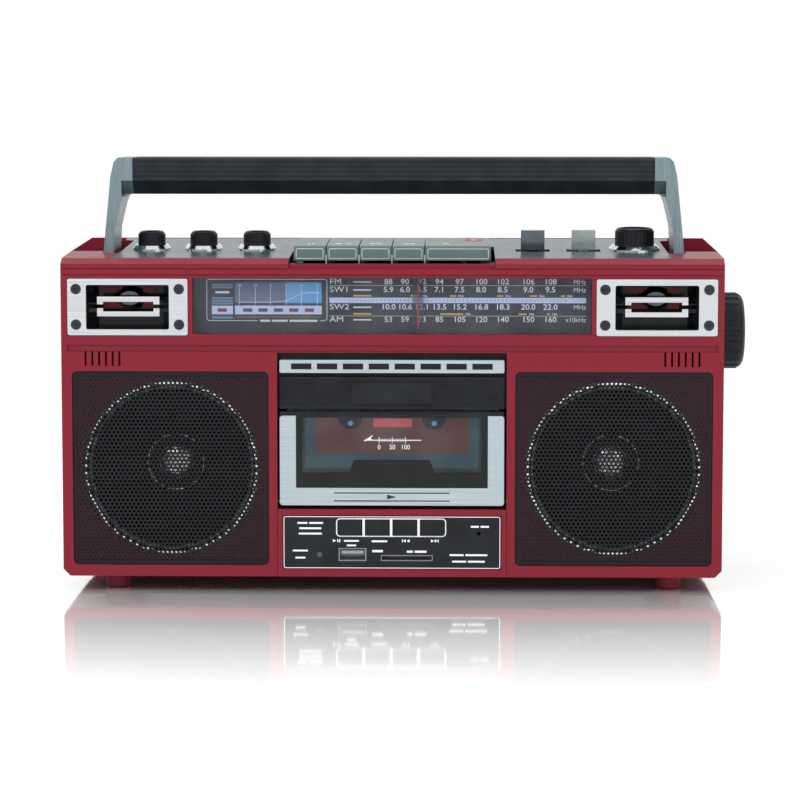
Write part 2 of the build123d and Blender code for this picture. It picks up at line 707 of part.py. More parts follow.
def tape_door():
    """Door body with its window opening, cassette guides and pivot pins."""
    door = span((-DOOR_HALF, DOOR_HALF), DOOR_Y, DOOR_Z)
    door -= front_prism(window_outline(0), (0, 8))
    for side in (-1, 1):
        x = sorted((side * 50.0, side * 54.0))
        door += span(x, (DOOR_Y[1], 16.0), (50.0, 88.0))
    door += span((-54.0, 54.0), (DOOR_Y[1], 16.0), (49.0, 51.0))
    return door + disc_x(*DOOR_PIVOT, PIN_RADIUS, (-DOOR_HALF - 2.4, DOOR_HALF + 2.4))


def tape_door_trim():
    """Bright U-shaped trim on the door's face."""
    face = Pos(0, (DOOR_Z[0] + TRIM_TOP) / 2) * RectangleRounded(
        2 * DOOR_HALF, TRIM_TOP - DOOR_Z[0], 1.5)
    inner_top = TRIM_TOP + 5
    inner_half = DOOR_HALF - TRIM_ARM
    face -= Pos(0, (TRIM_SILL + inner_top) / 2) * Rectangle(2 * inner_half, inner_top - TRIM_SILL)
    return front_prism(face, (DOOR_Y[0] - 1.2, DOOR_Y[0]))


def tape_door_window():
    """Clear pane, standing a little proud of the door body."""
    return front_prism(window_outline(-0.05), (DOOR_Y[0] + 0.4, DOOR_Y[0] + 2.0))


def deck_chassis():
    """Steel plate of the tape deck with the two ears that carry the key axle."""
    y = (CHASSIS_Y, CHASSIS_Y + CHASSIS_THICK)
    plate = span((-54, 54), y, (46, 120))
    for side in (-1, 1):
        x = sorted((side * 52.0, side * 54.0))
        plate += span(x, (CHASSIS_Y, KEY_AXLE[0] + 4), (112, 120))
        plate += span(x, (KEY_AXLE[0] - 4, KEY_AXLE[0] + 4), (112, KEY_AXLE[1] + 3.5))
        plate -= disc_y(side * HUB_X, HUB_Z, SPINDLE_SHAFT + SHAFT_CLEARANCE, (20, 30))
    plate -= disc_y(*CAPSTAN, CAPSTAN_RADIUS + SHAFT_CLEARANCE, (20, 30))
    return plate - disc_x(*KEY_AXLE, KEY_AXLE_RADIUS + SHAFT_CLEARANCE, (-60, 60))


def reel_spindle(x):
    """Reel table with its three-finned spindle."""
    spindle = disc_y(x, HUB_Z, 2.6, (13.5, 20))
    for fin in range(3):
        blade = Rot(0, fin * 120, 0) * span((0, 4.2), (13.5, 20), (-0.6, 0.6))
        spindle += Pos(x, 0, HUB_Z) * blade
    table = disc_y(x, HUB_Z, 6.5, (20, 23))
    return spindle + table + disc_y(x, HUB_Z, SPINDLE_SHAFT, (23, 29))


def flywheel():
    """Capstan shaft with its flywheel behind the chassis."""
    wheel = disc_y(*CAPSTAN, FLYWHEEL_RADIUS, (30, 35)) - disc_y(*CAPSTAN, 11.0, (33, 36))
    return wheel + disc_y(*CAPSTAN, CAPSTAN_RADIUS, (14, 34))


def head_bridge():
    """Sliding plate with the two heads and the pinch roller, above the tape."""
    plate = span((-26, 30), (20, 21.5), (106.8, 118))
    plate += span((-6, 6), (12, 20), (102, 110))
    plate += span((-22, -12), (13, 20), (102, 109))
    roller_z = CAPSTAN[1] + CAPSTAN_RADIUS + PINCH_RADIUS + BRIDGE_TRAVEL + SLIP
    return plate + disc_y(CAPSTAN[0], roller_z, PINCH_RADIUS, (13, 20))


save("level_bar", level_bar())
save("tape_panel", tape_panel())
save("tape_door", tape_door())
save("tape_door_trim", tape_door_trim())
save("tape_door_window", tape_door_window())
save("deck_chassis", deck_chassis())
save("reel_spindle_left", reel_spindle(-HUB_X))
save("reel_spindle_right", reel_spindle(HUB_X))
save("flywheel", flywheel())
save("deck_motor", disc_y(*MOTOR, MOTOR_RADIUS, (38, 60)))
save("motor_pulley", disc_y(*MOTOR, PULLEY_RADIUS, (30, 35)) + disc_y(*MOTOR, 1.0, (35, 37.7)))
save("head_bridge", head_bridge())


def key_lever(x, cap_y, boss_x):
    """One piano key: a hollow-sided cap with an arm running down to the axle."""
    rise = (KEY_Z[2] - KEY_Z[1]) / (KEY_Y[1] - KEY_Y[0])
    front_top = KEY_Z[1] + (cap_y[0] - KEY_Y[0]) * rise
    cap = side_prism([(cap_y[0], KEY_Z[0]), (cap_y[0], front_top - 0.8), (cap_y[0] + 0.8, front_top),
                      (cap_y[1], KEY_Z[2]), (cap_y[1], KEY_Z[0])], x)
    axle_y, axle_z = KEY_AXLE
    arm = side_prism([(cap_y[1] - 9, KEY_Z[0] + 1), (cap_y[1], KEY_Z[0] + 1),
                      (axle_y + 2, axle_z + 2), (axle_y, axle_z - 3), (axle_y - 3, axle_z - 2)], boss_x)
    key = cap + arm + disc_x(axle_y, axle_z, 3, boss_x)
    return key - disc_x(axle_y, axle_z, KEY_AXLE_RADIUS + SHAFT_CLEARANCE, (boss_x[0] - 1, boss_x[1] + 1))


def piano_keys():
    """The five keys across the front of the top, and the record key inside the play key."""
    keys = {}
    for place, name in enumerate(("key_pause", "key_stop_eject", "key_forward", "key_rewind")):
        start = -KEY_HALF + place * KEY_PITCH
        x = (start, start + KEY_PITCH - KEY_GAP)
        keys[name] = key_lever(x, KEY_Y, (x[0] + 2, x[1] - 2))
    start = -KEY_HALF + 4 * KEY_PITCH
    play = key_lever((start, KEY_HALF), KEY_Y, (start + 2, RECORD_X[0] - 2))
    gap = span((RECORD_X[0] - KEY_GAP, RECORD_X[1] + KEY_GAP), (RECORD_Y - 1.5, 70), (150, 185))
    keys["key_play"] = play - gap
    keys["key_record"] = key_lever(RECORD_X, (RECORD_Y, KEY_Y[1]), (RECORD_X[0] + 1, RECORD_X[1] - 1))
    return keys


for key_name, key_solid in piano_keys().items():
    save(key_name, key_solid)
save("key_axle", disc_x(*KEY_AXLE, KEY_AXLE_RADIUS, (-54.0, 54.0)))


def button_middles():
    """The x of the four push buttons."""
    return [BUTTON_MIDDLE[0] + (place - 1.5) * BUTTON_PITCH for place in range(4)]


def lower_panel():
    """Control panel under the tape door."""
    panel = rounded_front((-PANEL_HALF, PANEL_HALF), PANEL_Z, 1, (0, PANEL_THICK))
    for x in button_middles():
        half = BUTTON_SIZE[0] / 2 + SLIP
        z = (BUTTON_MIDDLE[1] - BUTTON_SIZE[1] / 2 - SLIP, BUTTON_MIDDLE[1] + BUTTON_SIZE[1] / 2 + SLIP)
        panel -= rounded_front((x - half, x + half), z, 0.8, (-1, 3))
    for (x, z), (wide, tall) in ((PORT_PLACE, PORT_SIZE), (CARD_PLACE, CARD_SIZE)):
        panel -= span((x - wide / 2, x + wide / 2), (-1, 3), (z - tall / 2, z + tall / 2))
    return panel - disc_y(*MIC_PLACE, 1.0, (-1, 3))


def push_button(x):
    """Button cap with its retaining flange and stem."""
    z = BUTTON_MIDDLE[1]
    cap = rounded_front((x - BUTTON_SIZE[0] / 2, x + BUTTON_SIZE[0] / 2),
                        (z - BUTTON_SIZE[1] / 2, z + BUTTON_SIZE[1] / 2), 0.6, (-0.8, 2.4))
    flange = span((x - 6.3, x + 6.3), (2.4, 3.4), (z - 4.7, z + 4.5))
    return cap + flange + disc_y(x, z, 1.5, (3.4, 9.0))


def media_socket(place, size, wall, depth, tongue):
    """Open metal socket with its contact tongue."""
    (x, z), (wide, tall) = place, size
    shell = span((x - wide / 2, x + wide / 2), (0.4, depth), (z - tall / 2, z + tall / 2))
    shell -= span((x - wide / 2 + wall, x + wide / 2 - wall), (-1, depth - 1),
                  (z - tall / 2 + wall, z + tall / 2 - wall))
    if tongue:
        shell += span((x - wide / 2 + 1.5, x + wide / 2 - 1.5), (1.6, depth), (z + 0.2, z + 1.9))
    return shell


def circuit_boards():
    """Media board behind the lower panel and the upright main board at the back."""
    media = span((-52, 52), (12.4, 14.0), (12.0, 39.0))
    main = span((-115, 115), (98.0, 99.6), (92.0, 150.0))
    return [media, main]


def transformer():
    """Mains transformer: laminated core round its winding."""
    core = span((-58, -22), (46, 72), (CASE_FLOOR + WALL, 44))
    core -= span((-52, -45), (40, 80), (17, 38))
    core -= span((-35, -28), (40, 80), (17, 38))
    winding = span((-51, -29), (41, 77), (18, 37)) - span((-45, -35), (46, 72), (0, 60))
    return [core, winding - core]


save("lower_panel", lower_panel())
for place, x_button in enumerate(button_middles()):
    save(f"push_button_{place + 1}", push_button(x_button))
save("media_sockets", media_socket(PORT_PLACE, PORT_SIZE, 0.5, 12.4, True),
     media_socket(CARD_PLACE, CARD_SIZE, 0.4, 12.4, False))
save("circuit_boards", *circuit_boards())
save("transformer", *transformer())


def knob_places():
    """Name, across position, knob radius and height, and bezel radius of each top knob."""
    small = [(name, u, *SMALL_KNOB, SMALL_BEZEL) for name, u in SMALL_KNOBS.items()]
    return [*small, ("volume_knob", VOLUME_X, *VOLUME_KNOB, VOLUME_BEZEL)]


def top_control_plate():
    """Plate set into the sloping top, with holes for the shafts and slots for the levers."""
    plate = on_top(top_outline(), (-PLATE_THICK, 0))
    for _, u, *_ in knob_places():
        plate -= TOP * Pos(u, KNOB_V, 0) * Cylinder(3 + SLIP, 6)
    for u in LEVERS.values():
        v = sum(LEVER_V) / 2
        half_u, half_v = (side / 2 for side in LEVER_SLOT)
        plate -= top_block((u - half_u, u + half_u), (v - half_v, v + half_v), (-3, 1))
    for side in (-1, 1):
        x = sorted((side * (SLOT_X[0] - SLIP), side * (SLOT_X[1] + SLIP)))
        plate -= span(x, (HANDLE_Y[0] - 1, SLOT_BACK + SLIP), (150, 190))
    return plate


def knob(u, radius, height):
    """Knurled top knob with a dished crown and its shaft."""
    crown = radius - 1.3
    outline = [
        (0, 1.0), (radius, 1.0), (radius, height - 1.4), (crown, height), (crown - 1.0, height),
        (crown - 1.6, height - 0.8), (0, height - 0.8),
    ]
    body = turned_z(outline)
    for notch in range(KNURLS):
        spin = Rot(0, 0, 360 / KNURLS * notch)
        body -= spin * span((radius - 0.35, radius + 1), (-0.25, 0.25), (3.0, height - 1.6))
    shaft = disc_z(0, 0, 3, (-6, 1.2))
    return TOP * Pos(u, KNOB_V, 0) * (body + shaft)


def bezel(u, inner, outer):
    """Flanged ring round a knob's foot."""
    outline = [(inner, 0), (outer, 0), (outer, 0.7), (inner + 1.2, 2.4), (inner, 2.4)]
    return TOP * Pos(u, KNOB_V, 0) * turned_z(outline)


def controls_below():
    """Potentiometers, slide switches and the tuning capacitor, under the top."""
    units = []
    for _, u, *_ in knob_places():
        units.append(TOP * Pos(u, KNOB_V, -13) * Cylinder(8, 13.4))
    for u in LEVERS.values():
        units.append(top_block((u - 11, u + 11), (34, 46), (-16, -8.5)))
    units.append(span((96, DRUM_X[0] - 6.3), (35, 55), (118, 140)))
    return units


def lever(u):
    """Paddle lever with its stem through the slot."""
    half = LEVER_WIDTH / 2
    paddle = top_block((u - half, u + half), LEVER_V, (0.4, LEVER_HEIGHT))
    stem = top_block((u - 2.5, u + 2.5), (LEVER_V[0] + 0.8, LEVER_V[1] - 0.8), (-8.2, 0.6))
    return paddle + stem


save("top_control_plate", top_control_plate())
save("knob_bezels", *[bezel(u, radius + 0.4, outer) for _, u, radius, _, outer in knob_places()])
for name, u, radius, height, _ in knob_places():
    save(name, knob(u, radius, height))
save("controls_below", *controls_below())
for name, u in LEVERS.items():
    save(name, lever(u))


def handle_section(y, half):
    """Bar with the handle's section: flat top, upright faces and bevelled underside."""
    front, back = y
    points = [
        (front, HANDLE_EDGE), (front, HANDLE_TOP - 0.8), (front + 0.8, HANDLE_TOP),
        (back - 0.8, HANDLE_TOP), (back, HANDLE_TOP - 0.8), (back, HANDLE_EDGE),
        (back - HANDLE_BEVEL, HANDLE_UNDER), (front + HANDLE_BEVEL, HANDLE_UNDER),
    ]
    return side_prism(points, half)


def handle_arm():
    """Right arm: splayed upright with a turned-in top and a round foot on the pivot."""
    inner = ARM_OUTER - ARM_THICK
    outline = [
        (inner, HANDLE_PIVOT_Z), (ARM_OUTER, HANDLE_PIVOT_Z), (ARM_OUTER, 168.5), (146.6, 182.0),
        (143.9, 208.4), (142.2, 215.4), (140.2, HANDLE_TOP), (GRIP_HALF, HANDLE_TOP),
        (GRIP_HALF, HANDLE_UNDER), (134.6, HANDLE_UNDER), (137.6, HANDLE_UNDER - 1.4),
        (139.0, HANDLE_UNDER - 5.0), (141.9, 182.0),
    ]
    arm = front_prism(make_face(Polyline(*outline, close=True)), HANDLE_Y)
    middle = sum(HANDLE_Y) / 2
    arm += disc_x(middle, HANDLE_PIVOT_Z, HANDLE_Y[1] - middle, (inner, ARM_OUTER))
    for front in (True, False):
        edge = HANDLE_Y[0] if front else HANDLE_Y[1]
        turn = 1 if front else -1
        wedge = [(edge - turn, HANDLE_EDGE), (edge, HANDLE_EDGE), (edge + turn * HANDLE_BEVEL, HANDLE_UNDER),
                 (edge + turn * HANDLE_BEVEL, HANDLE_UNDER - 1), (edge - turn, HANDLE_UNDER - 1)]
        arm -= side_prism(wedge, (GRIP_HALF - 1, 138.4))
    for line in range(3):
        level = 181.0 + line * 2.0
        arm -= span((130, 150), (HANDLE_Y[0] - 1, HANDLE_Y[0] + 0.3), (level, level + 0.5))
    return arm - disc_x(middle, HANDLE_PIVOT_Z, HANDLE_PIN + SHAFT_CLEARANCE, (130, 150))


def handle_grip():
    """Grooved grip between the arms."""
    grip = handle_section(HANDLE_Y, (-GRIP_HALF, GRIP_HALF))
    across = (-GRIP_HALF - 1, GRIP_HALF + 1)
    for groove in range(4):
        level = HANDLE_EDGE + 2.0 + groove * 2.4
        for y in (HANDLE_Y[0], HANDLE_Y[1]):
            grip -= span(across, (y - 0.35, y + 0.35), (level, level + 0.5))
    for groove in range(11):
        y = HANDLE_Y[0] + 3.0 + groove * 2.5
        grip -= span(across, (y - 0.25, y + 0.25), (HANDLE_TOP - 0.35, HANDLE_TOP + 1))
    return grip


save("handle_arms", handle_arm(), mirror_x(handle_arm()))
save("handle_grip", handle_grip())


def aerial_mast():
    """Outer tube of the aerial with the disc that it swings on."""
    x, y, z = AERIAL
    tube = disc_x(y, z, MAST_RADIUS, (x - MAST_LENGTH, x))
    disc = disc_y(x, z, 6, (y - MAST_RADIUS, y + MAST_RADIUS))
    bore = disc_x(y, z, TIP_RADIUS + SHAFT_CLEARANCE, (x - MAST_LENGTH - 1, x - 10))
    return tube + disc - bore


def aerial_tip():
    """Inner rod of the aerial with its end button."""
    x, y, z = AERIAL
    end = x - MAST_LENGTH
    rod = disc_x(y, z, TIP_RADIUS, (end - 3, x - 12))
    return rod + disc_x(y, z, 2.8, (end - 6, end - 3))


def mains_inlet():
    """Two-pin mains socket set into the back."""
    x, z = INLET
    body = span((x - 10.8, x + 10.8), (CASE_DEPTH - 14, CASE_DEPTH), (z - 6.8, z + 6.8))
    mouth = front_prism(Pos(x, z) * RectangleRounded(16, 8.6, 3.9), (CASE_DEPTH - 11, CASE_DEPTH + 1))
    pins = [disc_y(x + side * 4.3, z, 1.2, (CASE_DEPTH - 11, CASE_DEPTH - 2)) for side in (-1, 1)]
    return body - mouth + pins[0] + pins[1]


save("aerial_mast", aerial_mast())
save("aerial_tip", aerial_tip())
save("mains_inlet", mains_inlet())
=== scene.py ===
import bmesh
import bpy
import math
from mathutils import Euler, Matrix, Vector


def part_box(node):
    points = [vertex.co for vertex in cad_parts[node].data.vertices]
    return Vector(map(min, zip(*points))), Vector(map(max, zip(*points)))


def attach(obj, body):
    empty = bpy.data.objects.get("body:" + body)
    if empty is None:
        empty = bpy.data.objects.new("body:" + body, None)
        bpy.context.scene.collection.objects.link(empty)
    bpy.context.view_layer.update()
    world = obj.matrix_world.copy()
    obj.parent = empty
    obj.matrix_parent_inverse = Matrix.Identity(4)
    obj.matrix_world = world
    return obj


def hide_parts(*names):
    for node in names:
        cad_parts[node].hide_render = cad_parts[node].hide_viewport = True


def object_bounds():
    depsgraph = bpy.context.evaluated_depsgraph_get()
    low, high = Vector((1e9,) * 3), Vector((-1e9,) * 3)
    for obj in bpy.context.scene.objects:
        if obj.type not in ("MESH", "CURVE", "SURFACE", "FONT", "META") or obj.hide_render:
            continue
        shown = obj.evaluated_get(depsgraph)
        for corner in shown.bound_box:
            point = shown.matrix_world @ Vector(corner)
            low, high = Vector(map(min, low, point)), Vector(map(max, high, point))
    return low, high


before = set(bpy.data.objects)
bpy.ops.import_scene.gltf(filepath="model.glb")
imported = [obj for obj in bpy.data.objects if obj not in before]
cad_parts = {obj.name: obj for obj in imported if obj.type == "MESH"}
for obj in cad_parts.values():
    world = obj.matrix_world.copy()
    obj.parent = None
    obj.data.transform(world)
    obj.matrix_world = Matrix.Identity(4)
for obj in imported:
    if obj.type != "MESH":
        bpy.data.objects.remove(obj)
cad_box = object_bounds()

# Lengths below are millimetres: x from the middle of the case, y back from its front face, z up from
# the floor. at() turns them into the shared frame.
MM = 0.001
case_low, case_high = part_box("front_shell")
MIDDLE_X = (case_low[0] + case_high[0]) / 2
FRONT_Y = case_low[1]


def at(x, y, z):
    """A point given from the case's middle, front face and floor, in the shared frame."""
    return Vector((MIDDLE_X + x * MM, FRONT_Y + y * MM, z * MM))


def node_span(node):
    """A node's box as ((x0, x1), (y0, y1), (z0, z1)) in the millimetres above."""
    low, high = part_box(node)
    origin = (MIDDLE_X, FRONT_Y, 0.0)
    return tuple(((low[i] - origin[i]) / MM, (high[i] - origin[i]) / MM) for i in range(3))


# ---------------------------------------------------------------- camera and light

CAMERA_PLACE = (33.0, -1357.0, 247.0)
CAMERA_DOWN = 5.3
CAMERA_LEFT = 1.22
CAMERA_LENS = 122.9
CAMERA_SHIFT = -0.0588
CAMERA_SENSOR = 36.0
# Metres, like every distance that Blender itself takes.
CAMERA_REACH = 100.0
# Each lamp's place, the point it faces, its width and height, and its power in watts.
LAMPS = {
    "key_light": ((-500, -900, 900), (0, 50, 90), (900, 600), 10),
    "fill_light": ((700, -1000, 500), (0, 50, 90), (700, 700), 3),
    "top_light": ((0, 250, 1100), (0, 50, 150), (1200, 500), 3),
}


def make_camera():
    data = bpy.data.cameras.new("camera")
    data.lens = CAMERA_LENS
    data.sensor_width = CAMERA_SENSOR
    data.shift_y = CAMERA_SHIFT
    data.clip_end = CAMERA_REACH
    camera = bpy.data.objects.new("camera", data)
    camera.location = at(*CAMERA_PLACE)
    camera.rotation_euler = Euler((math.radians(90 - CAMERA_DOWN), 0, math.radians(CAMERA_LEFT)))
    bpy.context.scene.collection.objects.link(camera)
    bpy.context.scene.camera = camera


def area_light(name, place, aim, size, power):
    """Soft white rectangular lamp at place, facing aim."""
    data = bpy.data.lights.new(name, "AREA")
    data.shape = "RECTANGLE"
    data.size = size[0] * MM
    data.size_y = size[1] * MM
    data.energy = power
    lamp = bpy.data.objects.new(name, data)
    lamp.location = at(*place)
    direction = at(*aim) - lamp.location
    lamp.rotation_euler = direction.to_track_quat("-Z", "Y").to_euler()
    bpy.context.scene.collection.objects.link(lamp)


def make_light():
    """White surroundings and the three lamps."""
    bpy.context.scene.view_settings.view_transform = "Standard"
    world = bpy.data.worlds.new("studio")
    world.use_nodes = True
    back = world.node_tree.nodes["Background"]
    back.inputs["Color"].default_value = (1, 1, 1, 1)
    back.inputs["Strength"].default_value = 1.0
    bpy.context.scene.world = world
    for name, (place, aim, size, power) in LAMPS.items():
        area_light(name, place, aim, size, power)


# ---------------------------------------------------------------- materials

# How far the studio light lifts a matt surface; colours are held down by as much.
LIGHT_GAIN = 1.35
# Matt surfaces carry little of the white studio in their gloss.
LOW_GLOSS = 0.2
# Noise rarely leaves this range, so the dark and light colours are reached at its ends.
NOISE_RANGE = (0.35, 0.65)
# Clear plastic: how bright and how sharp its glancing reflection is, how fast that fades towards
# face on, and how much reflection its unevenness adds.
SHINE = 0.9
SHINE_ROUGHNESS = 0.03
SHINE_FALL = 5.0
HAZE = 0.06


def linear(rgb, gain=1.0):
    """sRGB 0-255 to the linear colour that shaders take, divided by gain."""
    out = []
    for value in rgb:
        value /= 255
        straight = value / 12.92 if value <= 0.04045 else ((value + 0.055) / 1.055) ** 2.4
        out.append(straight / gain)
    return (*out, 1.0)


class Shader:
    """A new material with one Principled shader and short ways to add to it."""

    def __init__(self, name):
        self.material = bpy.data.materials.new(name)
        self.material.use_nodes = True
        self.tree = self.material.node_tree
        self.surface = self.tree.nodes["Principled BSDF"]

    def node(self, kind, **values):
        """A new node; each value sets the input of that name, or else the property."""
        made = self.tree.nodes.new(kind)
        for key, value in values.items():
            if key in made.inputs:
                made.inputs[key].default_value = value
            else:
                setattr(made, key, value)
        return made

    def link(self, start, end):
        self.tree.links.new(start, end)

    def set(self, **values):
        """Set inputs of the Principled shader, with _ for the spaces in their names."""
        for key, value in values.items():
            self.surface.inputs[key.replace("_", " ")].default_value = value

    def coordinates(self, stretch=(1, 1, 1)):
        """Object coordinates in millimetres, stretched along the axes."""
        place = self.node("ShaderNodeTexCoord")
        mapping = self.node("ShaderNodeMapping")
        mapping.inputs["Scale"].default_value = [factor / MM for factor in stretch]
        self.link(place.outputs["Object"], mapping.inputs["Vector"])
        return mapping.outputs["Vector"]

    def noise(self, scale, stretch=(1, 1, 1), detail=3.0):
        """Noise with about scale grains to the millimetre."""
        noise = self.node("ShaderNodeTexNoise", Scale=scale, Detail=detail)
        self.link(self.coordinates(stretch), noise.inputs["Vector"])
        return noise.outputs["Fac"]

    def vary_colour(self, fac, dark, light, gain=LIGHT_GAIN):
        """Base colour between dark and light, following fac."""
        ramp = self.node("ShaderNodeValToRGB")
        for stop, place, colour in zip(ramp.color_ramp.elements, NOISE_RANGE, (dark, light)):
            stop.position = place
            stop.color = linear(colour, gain)
        self.link(fac, ramp.inputs["Fac"])
        self.link(ramp.outputs["Color"], self.surface.inputs["Base Color"])
        return ramp.outputs["Color"]

    def vary_roughness(self, fac, low, high):
        """Roughness between low and high, following fac."""
        spread = self.node("ShaderNodeMapRange")
        spread.inputs["To Min"].default_value = low
        spread.inputs["To Max"].default_value = high
        self.link(fac, spread.inputs["Value"])
        self.link(spread.outputs["Result"], self.surface.inputs["Roughness"])

    def bump(self, fac, depth, strength=0.5):
        """Surface relief; depth in millimetres."""
        bump = self.node("ShaderNodeBump", Strength=strength, Distance=depth * MM)
        self.link(fac, bump.inputs["Height"])
        self.link(bump.outputs["Normal"], self.surface.inputs["Normal"])


def paint(name, dark, light, roughness, metallic, coat, grain, depth, gloss=LOW_GLOSS):
    """Metallic paint: fine flakes in the colour and a faint orange peel."""
    made = Shader(name)
    made.vary_colour(made.noise(grain, detail=2.0), dark, light)
    made.vary_roughness(made.noise(0.15), roughness - 0.04, roughness + 0.06)
    made.bump(made.noise(grain * 0.6), depth, 0.4)
    made.set(Metallic=metallic, Specular_IOR_Level=gloss, Coat_Weight=coat, Coat_Roughness=0.25)
    return made.material


def plastic(name, dark, light, roughness, grain=2.5, depth=0.02, coat=0.0):
    """Moulded plastic with a fine grain and slightly uneven gloss."""
    made = Shader(name)
    made.vary_colour(made.noise(0.08), dark, light)
    made.vary_roughness(made.noise(0.3), roughness - 0.05, roughness + 0.06)
    made.bump(made.noise(grain), depth, 0.35)
    made.set(Specular_IOR_Level=LOW_GLOSS, Coat_Weight=coat, Coat_Roughness=0.08)
    return made.material


def brushed(name, dark, light, roughness, along, metallic=0.85):
    """Brushed metal with its strokes along one axis."""
    made = Shader(name)
    stretch = [0.02 if axis == along else 4.0 for axis in range(3)]
    strokes = made.noise(1.0, stretch, 4.0)
    made.vary_colour(strokes, dark, light)
    made.vary_roughness(strokes, roughness - 0.07, roughness + 0.1)
    made.bump(strokes, 0.01, 0.2)
    made.set(Metallic=metallic)
    return made.material


def chrome(name, roughness=0.06, tint=(228, 232, 235)):
    """Bright plating with faint handling marks."""
    made = Shader(name)
    dull = tuple(int(value * 0.9) for value in tint)
    made.vary_colour(made.noise(0.2), dull, tint, gain=1.0)
    made.vary_roughness(made.noise(0.4), roughness * 0.6, roughness * 1.6)
    made.set(Metallic=1.0)
    return made.material


def clear(name, tint):
    """Thin clear plastic: see-through face on, with a sharp reflection at glancing angles."""
    made = Shader(name)
    see = made.node("ShaderNodeBsdfTransparent")
    see.inputs["Color"].default_value = linear(tint)
    shine = made.node("ShaderNodeBsdfGlossy", Roughness=SHINE_ROUGHNESS)
    shine.inputs["Color"].default_value = (SHINE, SHINE, SHINE, 1)
    edge = made.node("ShaderNodeLayerWeight", Blend=0.5)
    steep = made.node("ShaderNodeMath", operation="POWER")
    steep.inputs[1].default_value = SHINE_FALL
    made.link(edge.outputs["Facing"], steep.inputs[0])
    blend = made.node("ShaderNodeMath", operation="MULTIPLY_ADD")
    blend.inputs[1].default_value = HAZE
    made.link(made.noise(0.05), blend.inputs[0])
    made.link(steep.outputs["Value"], blend.inputs[2])
    mix = made.node("ShaderNodeMixShader")
    made.link(blend.outputs["Value"], mix.inputs["Fac"])
    made.link(see.outputs["BSDF"], mix.inputs[1])
    made.link(shine.outputs["BSDF"], mix.inputs[2])
    made.link(mix.outputs["Shader"], made.tree.nodes["Material Output"].inputs["Surface"])
    made.tree.nodes.remove(made.surface)
    return made.material


def ink(name, dark, light, glow=0.0):
    """Printed ink, slightly uneven; a glow adds painted light, an even emission over the whole mark with
    no lamp behind it.
    """
    made = Shader(name)
    colour = made.vary_colour(made.noise(3.0), dark, light)
    made.vary_roughness(made.noise(1.0), 0.5, 0.7)
    if glow:
        made.link(colour, made.surface.inputs["Emission Color"])
        made.set(Emission_Strength=glow)
    return made.material


